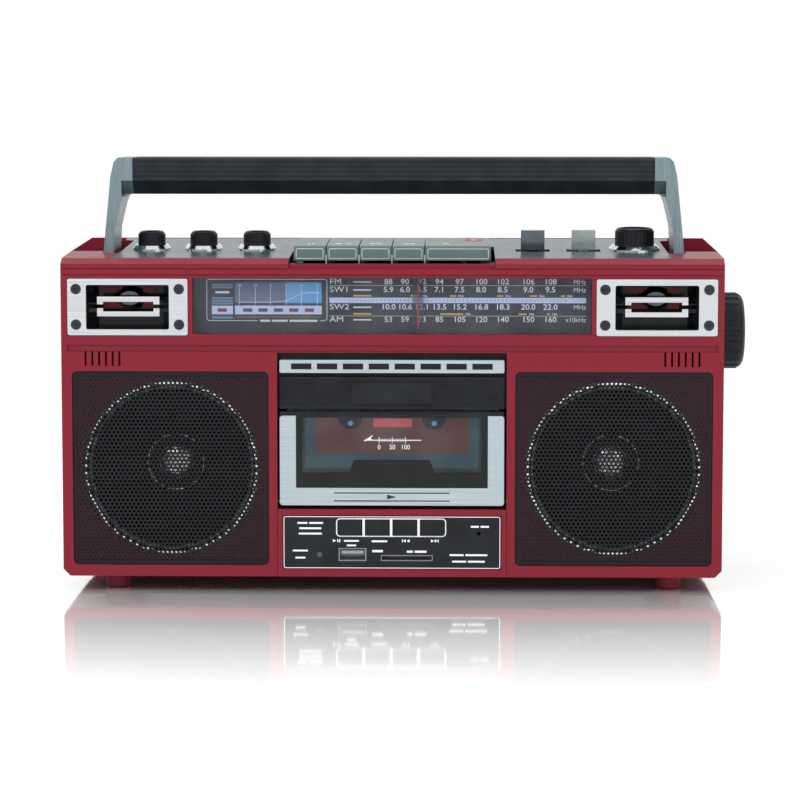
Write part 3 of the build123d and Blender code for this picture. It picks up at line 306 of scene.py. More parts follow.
# After the dark and light colours: roughness, then for paint metallic, coat, grain, relief and
# gloss; for plastic grain, relief and coat; for brushed the axis of its strokes and metallic.
MATERIALS = {
    "red": paint("red_paint", (114, 20, 36), (142, 31, 49), 0.36, 0.1, 0.04, 4.0, 0.012),
    "red_rear": paint("red_rear_paint", (88, 22, 34), (118, 33, 47), 0.6, 0.0, 0.0, 1.6, 0.06, 0.0),
    "red_rubber": plastic("red_rubber", (112, 28, 44), (132, 36, 54), 0.6),
    "black": plastic("black_plastic", (20, 23, 27), (30, 34, 39), 0.45),
    "black_gloss": plastic("black_gloss_plastic", (10, 12, 15), (17, 20, 24), 0.16, coat=0.12),
    "grip": plastic("grip_plastic", (22, 26, 31), (32, 37, 43), 0.5, 3.5, 0.03),
    "screw": plastic("screw_black", (34, 42, 46), (46, 55, 59), 0.4),
    "plate": paint("teal_plate", (64, 84, 90), (80, 102, 108), 0.24, 0.1, 0.0, 6.0, 0.004, 0.12),
    "chrome": chrome("bright_chrome"),
    "satin_chrome": chrome("satin_chrome", 0.26, (150, 162, 160)),
    "silver": brushed("brushed_silver", (196, 200, 203), (228, 231, 234), 0.34, 0, 0.75),
    "silver_bar": brushed("silver_bar", (172, 188, 194), (204, 216, 222), 0.3, 0, 0.75),
    "arm": brushed("arm_metal", (104, 124, 130), (138, 158, 164), 0.32, 2, 0.6),
    "key": paint("key_metallic", (84, 102, 104), (108, 126, 128), 0.3, 0.25, 0.04, 5.0, 0.006),
    "key_red": plastic("key_red", (150, 24, 34), (176, 36, 46), 0.35),
    "lens": clear("lens_clear", (235, 238, 242)),
    "window": clear("window_clear", (198, 214, 220)),
    "scale": plastic("scale_plate", (62, 60, 68), (76, 73, 82), 0.55),
    "pointer": plastic("pointer_red", (190, 28, 34), (214, 44, 48), 0.35),
    "natural": plastic("natural_plastic", (196, 192, 182), (214, 210, 200), 0.5),
    "steel": brushed("plain_steel", (150, 152, 156), (182, 184, 188), 0.38, 2),
    "brass": brushed("turned_brass", (176, 140, 74), (206, 170, 100), 0.3, 1),
    "board": plastic("circuit_board", (24, 82, 44), (34, 104, 58), 0.4),
    "control": plastic("control_body", (74, 78, 84), (94, 98, 104), 0.5),
    "core": brushed("laminated_core", (60, 54, 50), (88, 80, 74), 0.55, 1, 0.5),
    "paper": plastic("cone_paper", (20, 22, 25), (34, 37, 41), 0.75, 1.5, 0.08),
    "grille": paint("grille_black", (18, 20, 23), (28, 31, 35), 0.42, 0.2, 0.0, 3.0, 0.01),
    # An ink's last number is the strength of its glow: painted light, an even emission though no lamp
    # lights it.
    "white": ink("ink_white", (206, 208, 212), (226, 228, 232), 0.45),
    "cream": ink("ink_cream", (196, 190, 150), (214, 208, 168), 0.3),
    "amber": ink("ink_amber", (206, 166, 60), (226, 186, 84), 0.4),
    "meter_pale": ink("meter_pale", (196, 202, 232), (216, 222, 246), 0.25),
    "meter_blue": ink("meter_blue", (88, 156, 206), (112, 178, 226), 0.25),
    "meter_grey": ink("meter_grey", (98, 112, 136), (116, 132, 156), 0.12),
    "meter_stripe": ink("meter_stripe", (104, 140, 162), (128, 164, 186), 0.12),
    "olive": ink("ink_olive", (128, 116, 76), (146, 134, 92)),
    "lamp_red": ink("lamp_red", (124, 40, 46), (150, 56, 60)),
    "lamp_green": ink("lamp_green", (52, 70, 64), (70, 90, 80)),
    # The card, its red label and the film behind the door's window glow: painted light that lifts them out
    # of the shade inside the bay.
    "cassette": ink("cassette_brown", (142, 48, 40), (160, 60, 50), 0.5),
    "label_glow": ink("label_glow", (220, 70, 62), (234, 84, 76), 1.5),
    "bay": ink("window_film", (78, 94, 100), (98, 114, 120), 0.15),
    "dark_chrome": chrome("dark_chrome", 0.12, (90, 98, 104)),
    # Painted reflection: red plates behind the tweeter bars stand in for the red reflections seen between
    # them.
    "painted_red_reflection": plastic("painted_red_reflection", (96, 18, 28), (122, 26, 36), 0.3),
    "dark_ink": ink("ink_dark", (20, 22, 26), (34, 37, 42)),
    "label_red": ink("label_red", (176, 44, 52), (196, 60, 66)),
}

NODE_MATERIALS = {
    "red": ["front_shell"],
    "red_rear": ["rear_shell", "battery_cover"],
    "red_rubber": ["feet"],
    "black": [
        "tuning_knob", "tape_panel", "reel_spindle_left", "reel_spindle_right", "lower_panel",
        "mic_knob", "bass_knob", "treble_knob", "volume_knob", "mains_inlet",
    ],
    "black_gloss": [
        "tweeter_horns", "tape_door", "push_button_1", "push_button_2", "push_button_3",
        "push_button_4",
    ],
    "grip": ["handle_grip"],
    "screw": ["screws"],
    "plate": ["top_control_plate"],
    "chrome": ["knob_bezels", "trim_rings", "aerial_mast", "aerial_tip"],
    "dark_chrome": ["tweeter_domes", "function_lever"],
    "satin_chrome": ["band_lever"],
    "silver": ["tweeter_frame_left", "tweeter_frame_right"],
    "silver_bar": ["level_bar", "tape_door_trim"],
    "arm": ["handle_arms"],
    "key": ["key_pause", "key_stop_eject", "key_forward", "key_rewind", "key_play"],
    "key_red": ["key_record"],
    "lens": ["dial_lens"],
    "window": ["tape_door_window"],
    "scale": ["dial_scale_plate"],
    "pointer": ["dial_pointer"],
    "natural": ["dial_drum"],
    "steel": [
        "woofer_baskets", "deck_chassis", "deck_motor", "head_bridge", "key_axle",
        "media_sockets",
    ],
    "brass": ["flywheel", "motor_pulley"],
    "board": ["circuit_boards"],
    "core": ["transformer"],
    "paper": ["woofer_cone_left", "woofer_cone_right"],
    "control": ["controls_below"],
    "grille": ["speaker_grilles"],
}


def dress_nodes():
    """Give every CAD node its material."""
    for material, nodes in NODE_MATERIALS.items():
        for node in nodes:
            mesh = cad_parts[node].data
            mesh.materials.clear()
            mesh.materials.append(MATERIALS[material])


# ---------------------------------------------------------------- mesh helpers

# Height of a capital as a share of the font size.
CAPITAL_SHARE = 0.7
# Straight steps in a rounded corner's quarter turn, and in a full turn.
CORNER_STEPS = 5
TURN_STEPS = 64


def piece_from(name, build, body, materials):
    """Turn a filled bmesh into a piece that rides on a body, with its materials in this order."""
    mesh = bpy.data.meshes.new(name)
    bmesh.ops.recalc_face_normals(build, faces=build.faces)
    build.to_mesh(mesh)
    build.free()
    for material in materials:
        mesh.materials.append(MATERIALS[material])
    piece = bpy.data.objects.new(name, mesh)
    bpy.context.scene.collection.objects.link(piece)
    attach(piece, body)
    return piece


def add_outline(build, points, y, thick, slot=0):
    """Flat closed shape facing the front: an outline in (x, z), its face at y, thick deep."""
    front = [build.verts.new(at(x, y, z)) for x, z in points]
    back = [build.verts.new(at(x, y + thick, z)) for x, z in points]
    faces = [build.faces.new(front), build.faces.new(list(reversed(back)))]
    count = len(points)
    for i in range(count):
        j = (i + 1) % count
        faces.append(build.faces.new((front[j], front[i], back[i], back[j])))
    for face in faces:
        face.material_index = slot


def add_slab(build, x, z, y, thick, slot=0):
    """Flat bar between two corners."""
    add_outline(build, [(x[0], z[0]), (x[1], z[0]), (x[1], z[1]), (x[0], z[1])], y, thick, slot)


def rounded_loop(x, z, radius):
    """Corner-rounded rectangle as a list of points."""
    centres = [(x[1] - radius, z[0] + radius, -90), (x[1] - radius, z[1] - radius, 0),
               (x[0] + radius, z[1] - radius, 90), (x[0] + radius, z[0] + radius, 180)]
    points = []
    for cx, cz, start in centres:
        for step in range(CORNER_STEPS + 1):
            angle = math.radians(start + 90 * step / CORNER_STEPS)
            points.append((cx + radius * math.cos(angle), cz + radius * math.sin(angle)))
    return points


def add_frame(build, x, z, radius, width, y, thick, slot=0):
    """Rounded rectangular line of a given width."""
    outer = rounded_loop(x, z, radius)
    inner = rounded_loop((x[0] + width, x[1] - width), (z[0] + width, z[1] - width),
                         max(radius - width, 0.05))
    rings = [[build.verts.new(at(px, depth, pz)) for px, pz in loop]
             for depth in (y, y + thick) for loop in (outer, inner)]
    front_out, front_in, back_out, back_in = rings
    count = len(outer)
    for i in range(count):
        j = (i + 1) % count
        quads = ((front_out[i], front_out[j], front_in[j], front_in[i]),
                 (back_out[j], back_out[i], back_in[i], back_in[j]),
                 (front_out[j], front_out[i], back_out[i], back_out[j]),
                 (front_in[i], front_in[j], back_in[j], back_in[i]))
        for quad in quads:
            build.faces.new(quad).material_index = slot


def add_text(build, text, x, z, height, y, thick=0.06, slot=0, align="CENTER", bold=0.0, wide=1.0):
    """Printed figures: x is their middle or edge, z their baseline, height that of a capital."""
    curve = bpy.data.curves.new("lettering", "FONT")
    curve.body = text
    curve.size = height / CAPITAL_SHARE
    curve.align_x = align
    curve.offset = bold * curve.size
    curve.extrude = thick / 2
    curve.resolution_u = 3
    words = bpy.data.objects.new("lettering", curve)
    bpy.context.scene.collection.objects.link(words)
    evaluated = words.evaluated_get(bpy.context.evaluated_depsgraph_get())
    mesh = bpy.data.meshes.new_from_object(evaluated)
    for vertex in mesh.vertices:
        across, up, out = vertex.co
        vertex.co = at(x + across * wide, y + thick / 2 - out, z + up)
    start = len(build.faces)
    build.from_mesh(mesh)
    build.faces.ensure_lookup_table()
    for face in build.faces[start:]:
        face.material_index = slot
    bpy.data.objects.remove(words)
    bpy.data.curves.remove(curve)
    bpy.data.meshes.remove(mesh)


# ---------------------------------------------------------------- floor

FLOOR_HALF = 6000.0
FLOOR_GAP = 0.2
FLOOR_MIRROR = 0.74
MIRROR_REACH = 240.0
# The polished patch is an ellipse about the object, this much narrower from side to side.
MIRROR_SQUEEZE = 0.35


def make_floor():
    """Plain pale floor, polished near the object and matt further away."""
    build = bmesh.new()
    corners = [(-1, -1), (1, -1), (1, 1), (-1, 1)]
    floor_level = cad_box[0][2] - FLOOR_GAP * MM
    build.faces.new([build.verts.new((sx * FLOOR_HALF * MM, sy * FLOOR_HALF * MM, floor_level))
                     for sx, sy in corners])
    mesh = bpy.data.meshes.new("floor")
    build.to_mesh(mesh)
    build.free()
    surface = Shader("floor_white")
    surface.vary_colour(surface.noise(0.002), (250, 250, 250), (255, 255, 255), gain=1.0)
    surface.vary_roughness(surface.noise(0.01), 0.05, 0.08)
    place = surface.node("ShaderNodeTexCoord")
    flatten = surface.node("ShaderNodeMapping")
    flatten.inputs["Scale"].default_value = (MIRROR_SQUEEZE, 1, 0)
    surface.link(place.outputs["Object"], flatten.inputs["Vector"])
    away = surface.node("ShaderNodeVectorMath", operation="LENGTH")
    surface.link(flatten.outputs["Vector"], away.inputs[0])
    fade = surface.node("ShaderNodeMapRange")
    fade.inputs["From Min"].default_value = -FRONT_Y
    fade.inputs["From Max"].default_value = -FRONT_Y + MIRROR_REACH * MM
    fade.inputs["To Min"].default_value = FLOOR_MIRROR
    fade.inputs["To Max"].default_value = 0.0
    surface.link(away.outputs["Value"], fade.inputs["Value"])
    surface.link(fade.outputs["Result"], surface.surface.inputs["Metallic"])
    mesh.materials.append(surface.material)
    floor = bpy.data.objects.new("floor", mesh)
    bpy.context.scene.collection.objects.link(floor)


# ---------------------------------------------------------------- speaker grilles

HOLE_PITCH = 2.2
HOLE_RADIUS = 0.74
GRILLE_THICK = 0.8
# The sheet lies this far behind the front of its rim.
GRILLE_INSET = 0.1
GRILLE_RIM = 1.3
RIM_LAP = 0.6
RIM_DEPTH = 1.0
RIM_CORNER = 2.5
# Half the width of the centre section, which parts the two grilles.
CENTRE_HALF = 62.0


def make_grilles():
    """Two hexagonally perforated sheets, each inside its rolled rim."""
    (x0, x1), (y0, _), (z0, z1) = node_span("speaker_grilles")
    width = (x1 - x0 - 2 * CENTRE_HALF) / 2
    for side, start in (("left", x0), ("right", x1 - width)):
        make_grille("grille_" + side, (start, start + width), y0, (z0, z1))


def hexagon(x, z, radius):
    """Corners of an upright hexagon about (x, z)."""
    turns = [math.radians(30 + 60 * corner) for corner in range(6)]
    return [(x + radius * math.cos(turn), z + radius * math.sin(turn)) for turn in turns]


def make_grille(name, x, y, z):
    """One sheet: a hexagonal cell round each hole, thickened into a plate."""
    build = bmesh.new()
    row_pitch = HOLE_PITCH * math.sqrt(3) / 2
    cell = HOLE_PITCH / math.sqrt(3)
    sheet = y + GRILLE_INSET
    known = {}

    def shared(px, pz):
        """The vertex at a cell's corner, the same one for every cell that meets there."""
        key = (round(px, 2), round(pz, 2))
        if key not in known:
            known[key] = build.verts.new(at(px, sheet, pz))
        return known[key]

    rows = int((z[1] - z[0] - GRILLE_RIM) / row_pitch)
    first_z = (z[0] + z[1] - (rows - 1) * row_pitch) / 2
    for row in range(rows):
        columns = int((x[1] - x[0] - GRILLE_RIM) / HOLE_PITCH) - row % 2
        first_x = (x[0] + x[1] - (columns - 1) * HOLE_PITCH) / 2
        for column in range(columns):
            centre = (first_x + column * HOLE_PITCH, first_z + row * row_pitch)
            outer = [shared(px, pz) for px, pz in hexagon(*centre, cell)]
            hole = [build.verts.new(at(px, sheet, pz)) for px, pz in hexagon(*centre, HOLE_RADIUS)]
            for here in range(6):
                after = (here + 1) % 6
                build.faces.new((outer[here], outer[after], hole[after], hole[here]))
    build.normal_update()
    bmesh.ops.solidify(build, geom=build.faces[:], thickness=GRILLE_THICK * MM)
    add_frame(build, x, z, RIM_CORNER, GRILLE_RIM + RIM_LAP, y, RIM_DEPTH)
    piece = piece_from(name, build, "case", ["grille"])
    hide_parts("speaker_grilles")


# ---------------------------------------------------------------- printed marks

PRINT_THICK = 0.08
# Marks laid over other print are this thick.
OVERPRINT = 0.05
BAR_GAP = 0.9


def add_bars(build, lengths, x, z, height, y, slot=0, align="CENTER"):
    """Plain printed bars, drawn where small print would be, with no lettering."""
    total = sum(lengths) + BAR_GAP * (len(lengths) - 1)
    left = x if align == "LEFT" else x - total / 2
    for length in lengths:
        add_slab(build, (left, left + length), (z, z + height), y, PRINT_THICK, slot)
        left += length + BAR_GAP


# ---------------------------------------------------------------- dial

DIAL_MATERIALS = [
    "white", "cream", "amber", "meter_pale", "meter_blue", "meter_grey", "meter_stripe",
    "olive", "lamp_red", "lamp_green", "label_red", "dark_ink",
]
INK = {material: slot for slot, material in enumerate(DIAL_MATERIALS)}
BAND_X = -31.5
UNIT_X = 97.0
NUMBER_X = (-1.9, 6.4, 15.0, 23.7, 33.8, 44.6, 55.4, 68.2, 79.3)
# Each wave band's name, its baseline, its figures and its unit.
WAVE_BANDS = (
    ("FM", 154.9, ("88", "90", "92", "94", "97", "100", "102", "106", "108"), "MHz"),
    ("SW1", 150.9, ("5.9", "6.0", "6.5", "7.1", "7.5", "8.0", "8.5", "9.0", "9.5"), "MHz"),
    ("SW2", 142.2, ("10.0", "10.6", "12.1", "13.5", "15.2", "16.8", "18.3", "20.0", "22.0"), "MHz"),
    ("AM", 135.9, ("53", "59", "73", "85", "105", "120", "140", "150", "160"), "x10kHz"),
)
BAND_TALL = 2.8
NUMBER_TALL = 2.7
UNIT_TALL = 2.4
NOTE_X = -19.5
NOTE_LENGTH = 9.0
NOTE_TALL = 0.7
# Short-wave lengths: their level, and each one's two ends and name.
LENGTH_ROWS = (
    (149.0, ((9.3, 14.0, "49m"), (29.0, 32.0, "41m"), (52.6, 55.6, "31m"), (69.0, 72.6, "25m"),
             (84.6, 86.6, "22m"))),
    (139.9, ((24.0, 35.6, "19m"), (63.5, 67.4, "16m"), (77.6, 79.0, "13m"))),
)
LENGTH_HALF = 0.35
SMALL_TALL = 1.1
RULE_LEVELS = (154.2, 138.9)
HAIR_HALF = 0.12
STRIP_Z = (145.4, 148.1)
STRIP_MARGIN = 10.0
STRIP_TICKS = 56
TICK_LIFT = 0.04
# Half the height of every fifth tick, and of the others.
TICK_TALL = (0.8, 0.45)


def dial_print():
    """Everything printed on the scale plate: four wave bands, the scale strip and the level meter."""
    y = node_span("dial_scale_plate")[1][0] - PRINT_THICK
    build = bmesh.new()
    add_wave_bands(build, y)
    add_length_rows(build, y)
    add_scale_strip(build, y)
    add_level_meter(build, y)
    piece_from("dial_print", build, "case", DIAL_MATERIALS)


def add_wave_bands(build, y):
    """Name, note, figures and unit of each wave band."""
    white = INK["white"]
    for band, level, numbers, unit in WAVE_BANDS:
        add_text(build, band, BAND_X, level, BAND_TALL, y, slot=white, align="LEFT", wide=1.25)
        for x, number in zip(NUMBER_X, numbers):
            add_text(build, number, x, level, NUMBER_TALL, y, slot=white, bold=0.012, wide=1.1)
        add_text(build, unit, UNIT_X, level, UNIT_TALL, y, slot=white, align="RIGHT", wide=0.95)
        add_bars(build, (NOTE_LENGTH,), NOTE_X, level + 0.7, NOTE_TALL, y, white, "LEFT")


def add_length_rows(build, y):
    """Bars and names of the short-wave lengths, with a note bar before each row."""
    for level, stretches in LENGTH_ROWS:
        add_bars(build, (NOTE_LENGTH,), NOTE_X, level - 0.3, NOTE_TALL, y, INK["amber"], "LEFT")
        for low, high, name in stretches:
            span = (level - LENGTH_HALF, level + LENGTH_HALF)
            add_slab(build, (low, high), span, y, PRINT_THICK, INK["amber"])
            add_text(build, name, high + 1.0, level - 0.5, SMALL_TALL, y, slot=INK["white"],
                     align="LEFT", bold=0.02)


def add_scale_strip(build, y):
    """Two hair lines, and the pale strip with its ticks between them."""
    for level in RULE_LEVELS:
        span = (level - HAIR_HALF, level + HAIR_HALF)
        add_slab(build, (BAND_X, UNIT_X), span, y, PRINT_THICK, INK["cream"])
    add_slab(build, (BAND_X, UNIT_X), STRIP_Z, y, PRINT_THICK, INK["meter_pale"])
    middle = sum(STRIP_Z) / 2
    length = UNIT_X - BAND_X - 2 * STRIP_MARGIN
    for tick in range(STRIP_TICKS):
        x = BAND_X + STRIP_MARGIN + length * tick / (STRIP_TICKS - 1)
        fifth = tick % 5 == 0
        tall = TICK_TALL[0] if fifth else TICK_TALL[1]
        colour = INK["label_red"] if fifth else INK["dark_ink"]
        add_slab(build, (x - HAIR_HALF, x + HAIR_HALF), (middle - tall, middle + tall),
                 y - TICK_LIFT, OVERPRINT, colour)


# ---------------------------------------------------------------- level meter

METER_X = (-93.3, -32.6)
METER_Z = (136.3, 157.4)
METER_CORNER = 1.5
METER_LINE = 0.3
STRIPE_X = (-90.6, -80.0)
STRIPE_TOP = 155.0
STRIPE_PITCH = 1.36
STRIPE_TALL = 0.95
# A bar stands where stripes 2 to 4 would be.
STRIPES = (0, 1, 5, 6, 7)
GRAPH_X = (-79.0, -35.4)
GRAPH_Z = (145.3, 155.7)
GRAPH_SPLIT = -53.3
# Plain fields: sides, levels and colour.
METER_FIELDS = (
    (STRIPE_X, (137.4, 138.6), "meter_stripe"),
    (STRIPE_X, (139.6, 143.9), "meter_pale"),
    ((GRAPH_X[0], GRAPH_SPLIT - 0.05), GRAPH_Z, "meter_grey"),
    ((GRAPH_SPLIT, GRAPH_X[1]), GRAPH_Z, "meter_blue"),
    (GRAPH_X, (139.6, 144.0), "meter_pale"),
    (GRAPH_X, (138.0, 138.6), "olive"),
)
# Lamps: middle, half width and colour.
METER_LAMPS = (
    (-85.4, 2.2, "lamp_red"),
    (-72.6, 2.3, "lamp_green"),
    (-65.0, 2.3, "lamp_green"),
    (-57.2, 2.3, "lamp_green"),
    (-49.4, 2.3, "lamp_red"),
    (-41.6, 2.3, "lamp_red"),
)
LAMP_Z = (140.9, 142.6)
LAMP_LIFT = 0.06
LEVELS = (
    (-76.8, "-20"), (-68.8, "-10"), (-61.2, "-5"), (GRAPH_SPLIT, "0"), (-45.6, "+3"), (-37.6, "+6"),
)
LEVEL_Z = (144.4, 153.2)
GRAPH_LINE = (
    (-76.8, 145.9), (-61.2, 145.9), (-53.3, 146.4), (-45.6, 150.3), (-41.5, 150.7), (-36.0, 150.7),
)
GRAPH_LINE_TALL = 0.28


def add_level_meter(build, y):
    """Frame, fields, lamps and graph of the level meter, left of the wave bands."""
    white = INK["white"]
    add_frame(build, METER_X, METER_Z, METER_CORNER, METER_LINE, y, PRINT_THICK, white)
    for stripe in STRIPES:
        level = STRIPE_TOP - stripe * STRIPE_PITCH
        add_slab(build, STRIPE_X, (level - STRIPE_TALL, level), y, PRINT_THICK, INK["meter_stripe"])
    add_bars(build, (7.0,), sum(STRIPE_X) / 2, 150.2, 1.0, y, white)
    for sides, levels, colour in METER_FIELDS:
        add_slab(build, sides, levels, y, PRINT_THICK, INK[colour])
    for middle, half, colour in METER_LAMPS:
        add_slab(build, (middle - half, middle + half), LAMP_Z, y - LAMP_LIFT, LAMP_LIFT, INK[colour])
    over = y - OVERPRINT
    for x, name in LEVELS:
        add_slab(build, (x - HAIR_HALF, x + HAIR_HALF), LEVEL_Z, over, OVERPRINT, white)
        add_text(build, name, x, LEVEL_Z[1] + 0.5, SMALL_TALL, over, thick=OVERPRINT, slot=white,
                 bold=0.02)
    under = [(x, z - GRAPH_LINE_TALL) for x, z in reversed(GRAPH_LINE)]
    add_outline(build, [*GRAPH_LINE, *under], over, OVERPRINT, white)
    add_bars(build, (5.0, 8.0, 14.0), -52.0, 135.9, 1.0, y - TICK_LIFT, white)
    # Hides the frame's line behind those bars.
    add_slab(build, (-67.5, -36.5), (136.0, 136.9), y - 0.01, 0.02, INK["dark_ink"])


# ---------------------------------------------------------------- dial pointer

NEEDLE_HALF = 0.35
NEEDLE_THICK = 0.35
CARRIER_CORNER = 0.6
CARRIER_PLATE = (0.4, 0.8)
# The bar behind the plate: how far behind the front it starts, and how tall it is.
CARRIER_BACK = 1.2
CARRIER_BAR_TALL = 1.6
# The arm up from the bar: how far before the back it starts, its depth, how far it laps the bar,
# and how much narrower it is on each side.
CARRIER_ARM_START = 1.2
CARRIER_ARM = 1.15
CARRIER_ARM_LAP = 0.4
CARRIER_ARM_IN = 0.1
# The needle's top stays this far below the top of the lens.
NEEDLE_DROP = 3.1


def pointer():
    """Needle in its clear carrier, riding with the dial pointer."""
    (x0, x1), (y0, y1), (z0, z1) = node_span("dial_pointer")
    top = node_span("dial_lens")[2][1] - NEEDLE_DROP
    middle = (x0 + x1) / 2
    plate_in, plate_thick = CARRIER_PLATE
    carrier = bmesh.new()
    add_outline(carrier, rounded_loop((x0, x1), (z0, top), CARRIER_CORNER), y0 + plate_in, plate_thick)
    add_slab(carrier, (x0, x1), (top - CARRIER_BAR_TALL, top), y0 + CARRIER_BACK,
             y1 - y0 - CARRIER_BACK)
    add_slab(carrier, (x0 + CARRIER_ARM_IN, x1 - CARRIER_ARM_IN), (top - CARRIER_ARM_LAP, z1),
             y1 - CARRIER_ARM_START, CARRIER_ARM)
    clear_piece = piece_from("pointer_carrier", carrier, "pointer", ["window"])
    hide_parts("dial_pointer")
    needle = bmesh.new()
    add_slab(needle, (middle - NEEDLE_HALF, middle + NEEDLE_HALF), (z0, top), y0, NEEDLE_THICK)
    needle_piece = piece_from("pointer_needle", needle, "pointer", ["pointer"])
    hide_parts("dial_pointer")


# ---------------------------------------------------------------- tape section

DOOR_INK = 0.05
DOOR_LINE_HALF = 29.0
DOOR_LINES = (46.2, 50.2)
DOOR_LINE_TALL = 0.6
DOOR_ARROW = ((-2.4, 47.3), (2.4, 48.5), (-2.4, 49.7))
RULER_INK = 0.04
RULER_Z = 77.0
RULER_X = (-12.0, 14.7)
RULER_HALF = 0.2
# Outline of the arrow at the ruler's end, with heights from the ruler's line.
RULER_ARROW = ((-14.5, -0.5), (-9.5, 2.6), (-10.6, 1.0), (-10.0, 0.25), (-12.1, -0.25))
RULER_ZERO = -6.4
RULER_PITCH = 1.32
RULER_FIGURES = ("0", "50", "100")
RULER_TICKS_EACH = 5
RULER_TICK_HALF = 0.15
# Half the height of a tick with a figure, and of the others.
RULER_TALL = (1.5, 0.8)
# What is seen through the door's window; depths are from the window's back to its own front.
FILM_DEPTH = 0.5
FILM_THICK = 0.4
CARD_DEPTH = 0.3
CARD_X = (-38.5, 38.5)
CARD_Z = (70.2, 88.4)
# The red label on the card has the strongest glow: painted light.
GLOW_X = (-9.3, 10.0)
GLOW_Z = (83.4, 87.7)
GLOW_DEPTH = 0.2
HUB_DEPTH = 0.1
HUB_CORE_DEPTH = 0.04
WINDOW_FILM = (
    (-43.6, 90.0), (-43.6, 62.6), (-20.6, 62.6), (-17.0, 66.6),
    (17.0, 66.6), (20.6, 62.6), (43.6, 62.6), (43.6, 90.0),
)
HUB_X = (-20.8, 21.2)
HUB_Z = (82.2, 94.6)
HUB_HALF = 6.2
HUB_CORE_Z = (84.0, 86.6)
HUB_CORE_HALF = 1.3
# The strip of lid lies just inside the front of the window.
LID_X = (-44.9, 44.9)
LID_Z = (88.4, 90.7)
LID_DEPTH = 0.3
LID_THICK = 0.28
WINDOW_COUNT = 8
WINDOW_PITCH = 12.95
WINDOW_HALF = (5.05, 1.45)


def door_stripe():
    """Two lines and an arrow printed on the door's lower trim."""
    y = node_span("tape_door_trim")[1][0] - DOOR_INK
    build = bmesh.new()
    for level in DOOR_LINES:
        add_slab(build, (-DOOR_LINE_HALF, DOOR_LINE_HALF), (level, level + DOOR_LINE_TALL), y, DOOR_INK)
    add_outline(build, DOOR_ARROW, y, DOOR_INK)
    piece_from("door_stripe", build, "door", ["dark_ink"])


def tape_ruler():
    """Arrow, line, ticks and figures printed on the front of the door's window."""
    y = node_span("tape_door_window")[1][0] - RULER_INK
    build = bmesh.new()
    add_slab(build, RULER_X, (RULER_Z - RULER_HALF, RULER_Z + RULER_HALF), y, RULER_INK)
    add_outline(build, [(x, RULER_Z + rise) for x, rise in RULER_ARROW], y, RULER_INK)
    for tick in range(len(RULER_FIGURES) * RULER_TICKS_EACH - RULER_TICKS_EACH + 1):
        x = RULER_ZERO + tick * RULER_PITCH
        tall = RULER_TALL[0] if tick % RULER_TICKS_EACH == 0 else RULER_TALL[1]
        add_slab(build, (x - RULER_TICK_HALF, x + RULER_TICK_HALF), (RULER_Z - tall, RULER_Z + tall),
                 y, RULER_INK)
    for place, number in enumerate(RULER_FIGURES):
        x = RULER_ZERO + place * RULER_TICKS_EACH * RULER_PITCH
        add_text(build, number, x, RULER_Z - 4.6, 2.4, y, thick=RULER_INK, wide=0.9)
    piece_from("tape_ruler", build, "door", ["white"])


def behind_window():
    """Film, card and hubs seen through the door's window, and the strip of lid above it."""
    face, back = node_span("tape_door_window")[1]
    film = bmesh.new()
    add_outline(film, WINDOW_FILM, back + FILM_DEPTH, FILM_THICK)
    piece_from("window_film", film, "door", ["bay"])
    card = bmesh.new()
    add_slab(card, CARD_X, CARD_Z, back + CARD_DEPTH, 0.15, 0)
    add_slab(card, GLOW_X, GLOW_Z, back + GLOW_DEPTH, 0.1, 1)
    piece_from("tape_label", card, "door", ["cassette", "label_glow"])
    hubs = bmesh.new()
    for x in HUB_X:
        disc = rounded_loop((x - HUB_HALF, x + HUB_HALF), HUB_Z, HUB_HALF - 0.1)
        core = rounded_loop((x - HUB_CORE_HALF, x + HUB_CORE_HALF), HUB_CORE_Z, HUB_CORE_HALF - 0.05)
        add_outline(hubs, disc, back + HUB_DEPTH, 0.15, 0)
        add_outline(hubs, core, back + HUB_CORE_DEPTH, 0.05, 1)
    piece_from("window_hubs", hubs, "door", ["black", "meter_pale"])
    lid = bmesh.new()
    add_slab(lid, LID_X, LID_Z, face - LID_DEPTH, LID_THICK)
    piece_from("door_lid_strip", lid, "door", ["black"])


def lamp_windows():
    """A row of dark windows in the silver bar above the door."""
    (x0, x1), (y0, _), (z0, z1) = node_span("level_bar")
    build = bmesh.new()
    wide, tall = WINDOW_HALF
    level = (z0 + z1) / 2
    for window in range(WINDOW_COUNT):
        x = (x0 + x1) / 2 + (window - (WINDOW_COUNT - 1) / 2) * WINDOW_PITCH
        add_slab(build, (x - wide, x + wide), (level - tall, level + tall), y0 + 0.5, 0.6)
    piece_from("lamp_windows", build, "case", ["black_gloss"])


# ---------------------------------------------------------------- lower panel

PANEL_MARGIN = 0.2
PANEL_CORNER = 1.0
PANEL_LINE = 0.35
# Bars are drawn lower than the print they stand for, so that they look no heavier.
BAR_WEIGHT = 0.7
# Each row of bars: middle, baseline, height of print and the lengths of its bars.
PANEL_BARS = (
    (-41.0, 34.8, 1.3, (5.0, 7.0)),
    (-41.0, 32.1, 1.3, (11.0,)),
    (-41.0, 29.4, 1.3, (11.5,)),
    (-46.0, 20.8, 1.2, (7.5,)),
    (-46.0, 17.2, 1.2, (5.0,)),
    (-20.3, 25.8, 1.2, (7.5,)),
    (-20.3, 23.5, 1.2, (4.6,)),
    (-6.2, 25.6, 1.3, (7.8,)),
    (-7.2, 20.5, 1.6, (5.4,)),
    (12.5, 20.3, 1.5, (3.0, 6.0)),
    (44.2, 33.1, 1.3, (4.0, 4.2)),
    (38.5, 18.7, 1.3, (7.0, 11.0)),
    (38.5, 15.4, 1.3, (7.0, 8.5)),
)
BUTTON_ROW_X = (-28.0, 27.3)
BUTTON_ROW_Z = (28.3, 37.7)
BUTTON_ROW_CORNER = 2.0
BUTTON_ROW_LINE = 0.55
BUTTON_PITCH = 13.8
DIVIDER_HALF = 0.6
DIVIDER_Z = (28.8, 37.2)
SYMBOL_Z = 26.3
SYMBOL_HALF = 0.8
